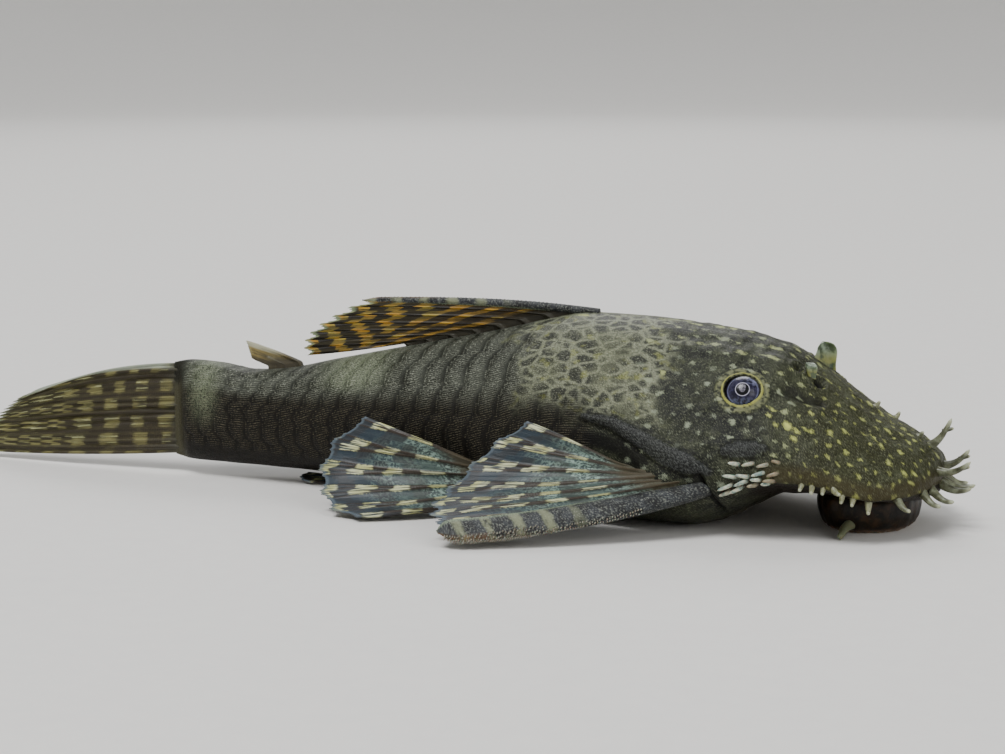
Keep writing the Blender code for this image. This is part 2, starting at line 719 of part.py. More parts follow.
def build():
    clear_scene()
    head = head_solid()
    pieces = crown_tentacles()
    for side in (-1, 1):
        pieces.append(orbit_rim(side))
        pieces.append(nostril_flap(side))
        pieces.append(skin_plate("gill_cover", GILL_COVER, side, 0.5))
        pieces += snout_tentacles(side)
        pieces += cheek_spines(side)
    join_all(head, pieces)
    for side in (-1, 1):
        cut(head, ball("socket", bend(*eye_centre(side)), EYE_RADIUS + NODE_GAP, 3))
        for pit in nostril_pits(side):
            cut(head, pit)
    finish(head, (0.075, 0.078, 0.045), 0.5)

    trunk = plated_solid("trunk", TRUNK_PLATES, lambda a: gill_line(a) + SEAM_GAP / 2,
                         lambda a: TRUNK_END - NODE_GAP / 2)
    join_all(trunk, [skin_plate("shoulder", SHOULDER, side, 0.75) for side in (-1, 1)])
    finish(trunk, (0.095, 0.095, 0.062), 0.5)
    tail = plated_solid("tail", TAIL_PLATES, lambda a: TRUNK_END + NODE_GAP / 2,
                        lambda a: TAIL_END)
    finish(tail, (0.09, 0.088, 0.055), 0.5)
    disc = mouth_disc()
    finish(disc, (0.09, 0.06, 0.045), 0.55)
    for name, side in (("eye_right", -1), ("eye_left", 1)):
        eye = ball(name, bend(*eye_centre(side)), EYE_RADIUS, 2)
        finish(eye, (0.05, 0.05, 0.09), 0.1)
    finish(dorsal(), (0.28, 0.2, 0.05), 0.45)
    finish(adipose(), (0.2, 0.18, 0.09), 0.45)
    finish(anal(), (0.2, 0.17, 0.08), 0.45)
    finish(caudal(), (0.22, 0.18, 0.07), 0.45)
    for name, side in (("pectoral_fin_right", -1), ("pectoral_fin_left", 1)):
        finish(pectoral(name, side), (0.16, 0.17, 0.12), 0.45)
    for name, side in (("pelvic_fin_right", -1), ("pelvic_fin_left", 1)):
        finish(pelvic(name, side), (0.17, 0.19, 0.12), 0.45)

    # The origin is set under the middle of the model's box, on the ground.
    lows, highs = [1e9] * 3, [-1e9] * 3
    objects = [o for o in bpy.data.objects if o.type == 'MESH']
    for obj in objects:
        for v in obj.data.vertices:
            for i in range(3):
                lows[i] = min(lows[i], v.co[i])
                highs[i] = max(highs[i], v.co[i])
    shift = Vector((-(lows[0] + highs[0]) / 2, -(lows[1] + highs[1]) / 2, -lows[2]))
    for obj in objects:
        obj.data.transform(Matrix.Translation(shift))
        obj.data.update()
    total = sum(len(o.data.polygons) for o in objects)
    print("nodes", len(objects), "triangles", total, "box",
          [round((highs[i] - lows[i]) / MM, 1) for i in range(3)])
    for obj in objects:
        print(" ", obj.name, len(obj.data.polygons))


build()
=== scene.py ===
import math
import bpy
import numpy as np
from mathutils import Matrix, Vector


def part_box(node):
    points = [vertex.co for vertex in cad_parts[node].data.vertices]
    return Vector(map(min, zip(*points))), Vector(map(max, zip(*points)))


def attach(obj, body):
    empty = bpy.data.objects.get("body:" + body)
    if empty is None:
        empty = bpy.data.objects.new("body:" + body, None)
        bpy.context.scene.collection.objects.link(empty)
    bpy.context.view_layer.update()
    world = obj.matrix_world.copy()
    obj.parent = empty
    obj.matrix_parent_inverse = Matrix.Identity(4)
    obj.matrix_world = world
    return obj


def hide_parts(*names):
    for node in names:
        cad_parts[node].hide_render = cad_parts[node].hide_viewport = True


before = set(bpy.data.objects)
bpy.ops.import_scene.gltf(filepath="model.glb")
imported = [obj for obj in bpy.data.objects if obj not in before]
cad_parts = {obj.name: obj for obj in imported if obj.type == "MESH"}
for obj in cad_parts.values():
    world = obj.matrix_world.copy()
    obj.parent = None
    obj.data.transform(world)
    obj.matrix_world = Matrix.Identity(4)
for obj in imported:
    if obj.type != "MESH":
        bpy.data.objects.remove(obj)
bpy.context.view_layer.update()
mm = 0.001

# Body plan, in millimetres: station back from the snout, y to the fish's left, z up.
body = {
    "heading": [(0, 4.0), (30, 4.0), (46, 1.0), (60, -2.8), (78, -3.2), (96, -1.2), (132, 3.5)],
    "halfWidth": [(0, 0.0), (0.35, 4.3), (1.1, 6.9), (2.5, 9.4), (4.5, 11.4), (7, 12.9), (10, 13.9),
                  (15, 14.7), (20, 15.3), (26, 15.7), (31, 15.4), (37, 14.5), (44, 13.2), (52, 11.7),
                  (60, 10.1), (68, 8.3), (76, 6.5), (84, 4.9), (90, 3.9), (96, 2.9), (97.4, 1.3),
                  (98.6, 0.36), (99.3, 0.3)],
    "top": [(0, 7.2), (0.4, 8.5), (2.3, 10.2), (4.9, 11.7), (7.6, 13.2), (10, 14.9), (12.5, 16.75),
            (16, 19.1), (18.2, 20.4), (22, 21.4), (25, 21.9), (30, 22.4), (36, 22.8), (43, 22.9),
            (48, 22.0), (54, 20.5), (60, 19.2), (68, 17.5), (76, 15.8), (83, 14.3), (87.5, 13.95),
            (92, 14.6), (96, 14.8), (99.3, 14.2)],
    "bottom": [(0, 4.6), (1.5, 4.1), (4, 3.95), (16.2, 3.95), (20, 2.4), (24, 0.5), (27, 0.0),
               (62, 0.0), (66, 0.5), (70, 1.1), (76, 1.6), (84, 1.8), (96, 2.0), (99.3, 2.4)],
    "widest": [(0, 5.7), (2, 5.3), (5, 5.2), (8, 5.9), (12, 7.0), (16, 7.2), (20, 7.0), (30, 7.0),
               (44, 7.4), (60, 7.8), (76, 8.2), (96, 9.0)],
    "arch": [(0, 1.75), (8, 1.6), (16, 1.5), (24, 1.55), (34, 1.75), (46, 1.9), (60, 1.95),
             (80, 2.1), (96, 2.3)],
    "under": [(0, 1.8), (8, 1.5), (16, 1.7), (22, 2.7), (30, 3.6), (60, 3.4), (72, 2.4), (96, 2.2)],
    "eyeStation": 21.0, "eyeAngle": 45.5, "eyeSink": 1.0, "eyeRadius": 2.35,
    "gillStation": 21.6, "napeSlant": 14.4, "nodeGap": 0.34,
    "bellyFlat": 0.25,
}


def track(table, s):
    # Smooth curve through the table, held flat past its ends.
    x, y = np.array(table, float).T
    s = np.clip(np.asarray(s, float), x[0], x[-1])
    slope = np.diff(y) / np.diff(x)
    a, b = slope[:-1], slope[1:]
    same = a * b > 0
    inner = np.where(same, 2 * a * b / np.where(same, a + b, 1), 0)
    m = np.concatenate([[slope[0]], inner, [slope[-1]]])
    i = np.clip(np.searchsorted(x, s) - 1, 0, len(x) - 2)
    h = x[i + 1] - x[i]
    u = (s - x[i]) / h
    return ((2 * u ** 3 - 3 * u ** 2 + 1) * y[i] + (u ** 3 - 2 * u ** 2 + u) * m[i] * h
            + (3 * u ** 2 - 2 * u ** 3) * y[i + 1] + (u ** 3 - u ** 2) * m[i + 1] * h)


axisStep, axisCount = 0.5, 300
axisAngle = np.radians(track(body["heading"], (np.arange(axisCount) + 0.5) * axisStep))
axisX = np.concatenate([[0], np.cumsum(-np.cos(axisAngle) * axisStep)])
axisY = np.concatenate([[0], np.cumsum(np.sin(axisAngle) * axisStep)])
axisS = np.arange(axisCount + 1) * axisStep


def curled(p):
    # Points given along a straight fish, laid on its bent axis, in metres before the frame's shift.
    s, y, z = np.moveaxis(np.asarray(p, float), -1, 0)
    turn = np.radians(track(body["heading"], s))
    ahead = np.minimum(s, 0)
    x = np.interp(s, axisS, axisX) - ahead * np.cos(turn) + y * np.sin(turn)
    v = np.interp(s, axisS, axisY) + ahead * np.sin(turn) + y * np.cos(turn)
    return np.stack([x, v, z], -1) * mm


def section(s, angle):
    # Half section: angle 90 is the back, 0 the widest level, -90 the belly.
    s, angle = np.broadcast_arrays(np.asarray(s, float), np.asarray(angle, float))
    a = np.radians(angle)
    wide, level = track(body["halfWidth"], s), track(body["widest"], s)
    c, v = np.maximum(np.cos(a), 0), np.abs(np.sin(a))
    up = 2 / track(body["arch"], s)
    down = 2 / track(body["under"], s)
    low = track(body["bottom"], s)
    y = wide * np.where(angle >= 0, c ** up, c ** down)
    z = np.where(angle >= 0, level + (track(body["top"], s) - level) * v ** up,
                 np.maximum(level - (level - low + body["bellyFlat"]) * v ** down, low))
    return y, z


def skinPoint(s, angle, side, lift=0.0):
    # A point of the skin, lifted off it square to the section.
    y, z = section(s, angle)
    step = 1.5
    y2, z2 = section(s, np.asarray(angle) + step)
    y1, z1 = section(s, np.asarray(angle) - step)
    size = np.hypot(y2 - y1, z2 - z1) + 1e-9
    ny, nz = (z2 - z1) / size, -(y2 - y1) / size
    return np.stack(np.broadcast_arrays(s, side * (y + ny * lift), z + nz * lift), -1).astype(float)


def crown(s, y):
    # Height of the upper surface over a point.
    level, n = track(body["widest"], s), track(body["arch"], s)
    share = np.minimum(np.abs(y) / track(body["halfWidth"], s), 1)
    return level + (track(body["top"], s) - level) * (1 - share ** n) ** (1 / n)


def sideAt(s, z):
    # Half width of the body at a height.
    wide, level = track(body["halfWidth"], s), track(body["widest"], s)
    up, down = track(body["arch"], s), track(body["under"], s)
    high = np.clip((z - level) / (track(body["top"], s) - level), 0, 1)
    low = np.clip((level - z) / (level - track(body["bottom"], s) + body["bellyFlat"]), 0, 1)
    return wide * np.where(z >= level, (1 - high ** up) ** (1 / up), (1 - low ** down) ** (1 / down))


def gillLine(angle):
    # Station where the head ends: it slants back towards the nape.
    rise = 0.5 + 0.5 * np.sin(np.radians(angle))
    return body["gillStation"] + body["napeSlant"] * rise ** 2.8


# The frame's shift is read from the box of one eye.
eyeLow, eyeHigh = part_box("eye_right")
eyeHome = curled(skinPoint(body["eyeStation"], body["eyeAngle"], -1, -body["eyeSink"]))
shift = np.array((eyeLow + eyeHigh) / 2) - eyeHome


def placed(p):
    return curled(p) + shift


def smooth(low, high, x):
    t = np.clip((x - low) / (high - low), 0, 1)
    return t * t * (3 - 2 * t)


def bell(x, middle, width):
    # 1 at the middle, falling softly to nothing on both sides.
    return np.exp(-((x - middle) / width) ** 2)


def unit(v):
    return v / (np.linalg.norm(v, axis=-1, keepdims=True) + 1e-12)


def rounded(t, start):
    # Full size up to the start of a tip, then rounded off.
    return np.sqrt(np.clip(1.02 - smooth(start, 1, t), 0.05, 1))


def triples(*fields):
    # Three numbers for each point, as a mesh attribute holds them.
    return np.stack(np.broadcast_arrays(*fields), -1).reshape(-1, 3)


def between(p0, p1, p2, p3, f):
    # Smooth curve from the second point to the third, led by the points on either side.
    return 0.5 * (2 * p1 + (p2 - p0) * f + (2 * p0 - 5 * p1 + 4 * p2 - p3) * f ** 2
                  + (3 * p1 - p0 - 3 * p2 + p3) * f ** 3)


def ripple(p, size, seed):
    # Soft seeded noise between about -1 and 1: a sum of sines in many directions.
    rng = np.random.default_rng(seed)
    total = 0
    for _ in range(7):
        way = rng.normal(size=p.shape[-1])
        way *= (0.7 + 0.6 * rng.random()) * 2 * math.pi / size / np.linalg.norm(way)
        total = total + np.sin(p @ way + rng.random() * 6.28)
    return total / 2.6


def hexColour(code):
    parts = [int(code[i:i + 2], 16) / 255 for i in (0, 2, 4)]
    linear = [c / 12.92 if c <= 0.04045 else ((c + 0.055) / 1.055) ** 2.4 for c in parts]
    return (*linear, 1.0)


def addNode(tree, kind, inputs=None, out=0, **settings):
    # A node with its settings and links; a string among the inputs is a hex colour.
    node = tree.nodes.new("ShaderNode" + kind)
    for key, value in settings.items():
        setattr(node, key, value)
    for key, value in (inputs or {}).items():
        if isinstance(value, bpy.types.NodeSocket):
            tree.links.new(value, node.inputs[key])
        elif isinstance(value, str):
            node.inputs[key].default_value = hexColour(value)
        else:
            node.inputs[key].default_value = value
    return node.outputs[out] if out is not None else list(node.outputs)


def newMaterial(name, inputs):
    material = bpy.data.materials.new(name)
    material.use_nodes = True
    shader = material.node_tree.nodes["Principled BSDF"]
    for key, value in inputs.items():
        shader.inputs[key].default_value = value
    return material, material.node_tree


def meshValues(tree, name):
    # The three numbers that the mesh carries under a name.
    vector = addNode(tree, "Attribute", out="Vector", attribute_name=name)
    return addNode(tree, "SeparateXYZ", {0: vector}, out=None)


def grainOf(tree, name, sizeMm, stretch=(1, 1, 1), detail=2.0):
    # Noise laid out in the millimetres that the mesh carries under a name.
    vector = addNode(tree, "Attribute", out="Vector", attribute_name=name)
    vector = addNode(tree, "Mapping", {"Vector": vector, "Scale": stretch})
    return addNode(tree, "TexNoise", {"Vector": vector, "Scale": 1 / sizeMm, "Detail": detail})


def roughened(tree, value, grain, amount):
    # The value with a grain added about its middle.
    offset = addNode(tree, "Math", {0: grain, 1: amount, 2: -amount / 2}, operation="MULTIPLY_ADD")
    return addNode(tree, "Math", {0: value, 1: offset}, operation="ADD")


def rampProduct(tree, strength, ramps):
    # Each ramp is a source and the two values between which it goes from 0 to 1.
    for source, low, high in ramps:
        ramp = addNode(tree, "MapRange", {0: source, 1: low, 2: high}, interpolation_type="SMOOTHSTEP")
        strength = addNode(tree, "Math", {0: strength, 1: ramp}, operation="MULTIPLY")
    return strength


def paintLayers(tree, colour, layers):
    # Each layer is its tone, its strength and the ramps that say where it lies.
    for tone, strength, *ramps in layers:
        amount = rampProduct(tree, strength, ramps)
        colour = addNode(tree, "Mix", {0: amount, 6: colour, 7: tone}, out=2, data_type="RGBA")
    return colour


def finishMaterial(tree, colour, height, depthMm, strength=0.5):
    shader = tree.nodes["Principled BSDF"].inputs
    tree.links.new(colour, shader["Base Color"])
    bump = addNode(tree, "Bump", {"Height": height, "Strength": strength, "Distance": depthMm * mm})
    tree.links.new(bump, shader["Normal"])


def makePiece(name, shapes, material, nodes=()):
    # Each shape is its points, its faces and its attributes; they become one object.
    verts = np.vstack([shape[0] for shape in shapes])
    faces = []
    start = 0
    for points, loops, _ in shapes:
        faces += [[i + start for i in loop] for loop in loops]
        start += len(points)
    mesh = bpy.data.meshes.new(name)
    mesh.from_pydata(verts.tolist(), [], faces)
    for key in shapes[0][2]:
        layer = mesh.attributes.new(key, "FLOAT_VECTOR", "POINT")
        values = np.vstack([shape[2][key] for shape in shapes]).astype(np.float32)
        layer.data.foreach_set("vector", values.ravel())
    mesh.materials.append(material)
    mesh.shade_smooth()
    obj = bpy.data.objects.new(name, mesh)
    bpy.context.scene.collection.objects.link(obj)
    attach(obj, "root")
    if nodes:
        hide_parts(*nodes)


def gridFaces(rows, cols, wrap=False):
    r, c = np.meshgrid(np.arange(rows - 1), np.arange(cols if wrap else cols - 1), indexing="ij")
    a = r * cols + c
    b = r * cols + (c + 1) % cols
    return np.stack([a, b, b + cols, a + cols], -1).reshape(-1, 4).tolist()


def closedFaces(rings, sides):
    # Rings joined to a tube, and a fan at each end round the last two points.
    count, last = rings * sides, (rings - 1) * sides
    faces = gridFaces(rings, sides, wrap=True)
    faces += [[count, (i + 1) % sides, i] for i in range(sides)]
    return faces + [[count + 1, last + i, last + (i + 1) % sides] for i in range(sides)]


def sheetFaces(rows, cols):
    # Two grids, front and back, and the strip that closes their edge.
    front = gridFaces(rows, cols)
    count = rows * cols
    faces = front + [[i + count for i in loop[::-1]] for loop in front]
    rim = list(range(cols)) + [r * cols + cols - 1 for r in range(1, rows)]
    rim += [(rows - 1) * cols + c for c in range(cols - 2, -1, -1)]
    rim += [r * cols for r in range(rows - 2, 0, -1)]
    faces += [[b, a, a + count, b + count] for a, b in zip(rim, rim[1:] + rim[:1])]
    return faces


def tube(points, radii, sides=12, tone=0.0):
    # Closed round tube through placed points, radii in millimetres.
    points = np.asarray(points, float)
    way = unit(np.gradient(points, axis=0))
    up = np.eye(3)[np.argmin(np.abs(way[0]))]
    turn = np.arange(sides) * 2 * math.pi / sides
    rings = []
    for point, ahead, radius in zip(points, way, radii):
        across = unit(np.cross(ahead, up))
        up = np.cross(across, ahead)
        rings.append(point + radius * mm * (np.cos(turn)[:, None] * across + np.sin(turn)[:, None] * up))
    n = len(points)
    verts = np.vstack(rings + [points[:1], points[-1:]])
    along = np.concatenate([np.repeat(np.linspace(0, 1, n), sides), [0, 1]])
    return verts, closedFaces(n, sides), {"grow": triples(along, tone, 0), "place": verts / mm}


def arcPath(points, count):
    # Smooth curve through a few points.
    points = np.asarray(points, float)
    t = np.linspace(0, len(points) - 1, count)
    k = np.clip(t.astype(int), 0, len(points) - 2)
    f = (t - k)[:, None]
    line = np.vstack([2 * points[0] - points[1], points, 2 * points[-1] - points[-2]])
    return between(*(line[k + i] for i in range(4)), f)


# Skin of head, trunk and tail.
skin = {
    "stations": 424, "around": 116, "end": 98.6,
    "plateStart": 37.0, "plateEnd": 95.7, "plateFirst": 3.15, "plateCount": 22,
    "plateLift": 0.13, "rowEdges": [80, 58, 37, 17, -3, -26], "leanTop": 4.5, "leanLow": 0.9,
    # Ring round the eye as distance, width and share; nostrils as station ahead and size.
    "orbitLift": 0.45, "orbitRings": [(2.2, 0.2, 1.0), (2.8, 0.35, 0.35)],
    "orbitTones": [(2.26, 0.2, 1.0), (2.85, 0.42, 0.62)], "socketDepth": 1.2,
    "nostrilStation": 14.9, "nostrilSide": 3.7, "nostrils": [(-1.3, 0.75), (1.25, 0.65)],
    # Light saddles: station, width, share, and the angles between which each fades in.
    "saddles": [(72, 4.5, 1.0, 22, 48), (93.2, 2.2, 0.9, -30, 20)],
    "finKnob": (28.6, -3, 2.3, 0.9),
    "gillCover": [(17.0, 20.5, 0.45), (18.3, 20, 0.95), (20.0, 18.8, 1.05), (21.4, 17.5, 0.6)],
    "shoulder": [(22.8, 5, 0.35), (25.3, 8.5, 1.15), (28.2, 12, 1.2), (31.8, 17.5, 0.95),
                 (35.5, 21.5, 0.7), (39.2, 21.5, 0.35)],
    "armpit": [(38.5, 13, 0.7), (34.5, 11.5, 1.1), (31.0, 6, 1.0)],
    "coverLift": 0.4, "shoulderLift": 0.75, "spotSeed": 7, "grainTilt": 38,
    "bumps": [(18.2, 63, 2.2, 0.38), (23.6, 60, 3.2, 0.3), (16.5, 18, 3.4, 0.35), (24.0, 32, 2.6, -0.25),
              (15.4, 42, 1.3, 0.3), (12.6, 49, 1.3, 0.28)],
    # Hollow before the eye, painted dark as shade.
    "hollowShade": [(16.4, 52, 1.0), (14.4, 53, 1.0), (12.6, 56, 0.7)],
}


def skinGrid():
    # Stations crowd at the snout and round the eye; rings are closer spaced at the eye's height.
    n = skin["stations"]
    t = np.linspace(0, 1, n)
    warp = np.interp(t, [0, 0.06, 0.14, 0.28, 0.40, 0.50, 1.0],
                     [0.02, 1.0, 4.0, 17.5, 24.5, 34.0, skin["end"]])
    s = np.convolve(np.pad(warp, 6, mode="reflect", reflect_type="odd"), np.ones(13) / 13, "valid")
    s[0], s[-1] = 0.02, skin["end"]
    fine = np.linspace(90, -90, 721)
    y, z = section(s[:, None], fine[None, :])
    step = np.hypot(np.diff(y, axis=1), np.diff(z, axis=1))
    arc = np.concatenate([np.zeros((n, 1)), np.cumsum(step, 1)], 1)
    middle = (fine[1:] + fine[:-1]) / 2
    crowd = 1 + 0.8 * bell(middle, body["eyeAngle"], 12)[None, :] * smooth(38, 28, s)[:, None]
    crowd = crowd * (1 - 0.5 * smooth(-35, -60, middle))[None, :]
    weight = np.concatenate([np.zeros((n, 1)), np.cumsum(step * crowd, 1)], 1)
    half = skin["around"]
    share = np.linspace(0, 1, half + 1)
    angle = np.stack([np.interp(share * weight[i, -1], weight[i], fine) for i in range(n)])
    q = np.stack([np.interp(angle[i][::-1], fine[::-1], arc[i][::-1])[::-1] for i in range(n)])
    angle = np.concatenate([angle, angle[:, -2:0:-1]], 1)
    q = np.concatenate([q, -q[:, -2:0:-1]], 1)
    side = np.concatenate([-np.ones(half + 1), np.ones(half - 1)])
    return s, angle, q, side


def distanceTo(points, s, angle, side):
    # Distance of each point from one place on the skin.
    return np.linalg.norm(points - skinPoint(s, angle, side), axis=-1)


def alongPath(points, path, side):
    # Distance to a path, in shares of the path's half width: 1 lies on its edge.
    knots = [skinPoint(s, a, side) for s, a, _ in path]
    best = np.full(points.shape[:-1], 9.0)
    for i in range(len(path) - 1):
        way = knots[i + 1] - knots[i]
        t = np.clip(((points - knots[i]) @ way) / (way @ way), 0, 1)
        half = path[i][2] * (1 - t) + path[i + 1][2] * t
        best = np.minimum(best, np.linalg.norm(points - knots[i] - t[..., None] * way, axis=-1) / half)
    return best


def platePattern(s, angle):
    # Running number of the plate along the body, and the place within its row.
    first, count = skin["plateFirst"], skin["plateCount"]
    length = skin["plateEnd"] - skin["plateStart"]
    shrink = (first * count - length) / count ** 2
    up = np.clip((angle - 5) / 85, 0, 1)
    down = np.clip((5 - angle) / 45, 0, 1)
    edges = np.array([90] + skin["rowEdges"] + [-60])
    row = np.clip(np.searchsorted(-edges, -angle) - 1, 0, len(edges) - 2)
    inRow = np.clip((edges[row] - angle) / (edges[row] - edges[row + 1]), 0, 1)
    bow = 0.45 * 4 * inRow * (1 - inRow)
    along = s - skin["plateStart"] + skin["leanTop"] * up + skin["leanLow"] * down - bow
    along = along + 0.25 * np.sin(row * 2.4)
    inside = np.maximum(first ** 2 - 4 * shrink * along, 0.01)
    return (first - np.sqrt(inside)) / (2 * shrink), inRow


def scatterSpots():
    # Light spots of both sides: yellow and streaked on the snout, round and grey on the cheek.
    rng = np.random.default_rng(skin["spotSeed"])
    named = [(19.2, 66, 1.7, 0.34, 0.55), (22.3, 64, 1.5, 0.3, 0.55), (20.9, 60.5, 0.5, 0.34, 0.4),
             (24.1, 61, 0.55, 0.4, 0.3), (17.6, 59, 0.5, 0.3, 0.5), (19.3, 57, 0.5, 0.3, 0.5),
             (16.4, 34, 0.5, 0.36, 1.0), (15.2, 35.5, 0.75, 0.5, 1.0), (17.4, 37, 0.42, 0.34, 0.9),
             (14.2, 30, 0.55, 0.36, 1.0), (12.6, 38, 0.42, 0.32, 1.0), (10.8, 42, 0.5, 0.36, 1.0),
             (9.6, 40, 0.42, 0.32, 1.0), (30.5, 47, 0.5, 0.36, 0.6), (43.5, 82, 0.9, 0.4, 0.8),
             (26.2, 27, 0.5, 0.42, 0.1), (24.9, 9, 0.4, 0.5, 0.9),
             (17.3, 40.5, 0.75, 0.34, 0.9), (14.1, 34.5, 0.6, 0.34, 1.0), (13.3, 37.5, 0.45, 0.3, 1.0),
             (21.2, 31, 0.5, 0.4, 0.2), (23.4, 40, 0.5, 0.44, 0.1), (25.2, 46, 0.45, 0.42, 0.1)]
    spots = []
    for side in (-1, 1):
        kept = [(skinPoint(s, a, side), along, across, tone, 1.0) for s, a, along, across, tone in named]
        count = 9000
        s = 0.5 + 33 * rng.random(count)
        a = -6 + 95 * rng.random(count) ** 0.85
        centres = skinPoint(s, a, side)
        eyeGap = distanceTo(centres, body["eyeStation"], body["eyeAngle"], side)
        r1, r2, r3, r4 = rng.random((4, count))
        onSnout = 1 - smooth(12, 18, s)
        high = smooth(50, 72, a) * (1 - onSnout)
        reach = 0.95 + 0.35 * r1 + 0.2 * (1 - onSnout)
        size = 0.17 + 0.2 * r2 ** 1.6 + 0.05 * (1 - onSnout)
        stretch = 1.15 + 0.6 * r3 + 0.9 * high
        tone = np.clip(0.8 * onSnout + 0.4 * high + 0.35 * (r4 - 0.3), 0, 1)
        fade = 0.5 + 0.5 * r4 - 0.3 * smooth(19, 24, s) * (1 - high)
        for i in np.nonzero(eyeGap > 3.0)[0]:
            gap = np.linalg.norm(np.array([k[0] for k in kept]) - centres[i], axis=1)
            if np.any(gap < reach[i] + 0.4 * np.array([k[1] for k in kept])):
                continue
            kept.append((centres[i], size[i] * stretch[i], size[i], tone[i], fade[i]))
        spots += [(side,) + k for k in kept]
    return spots


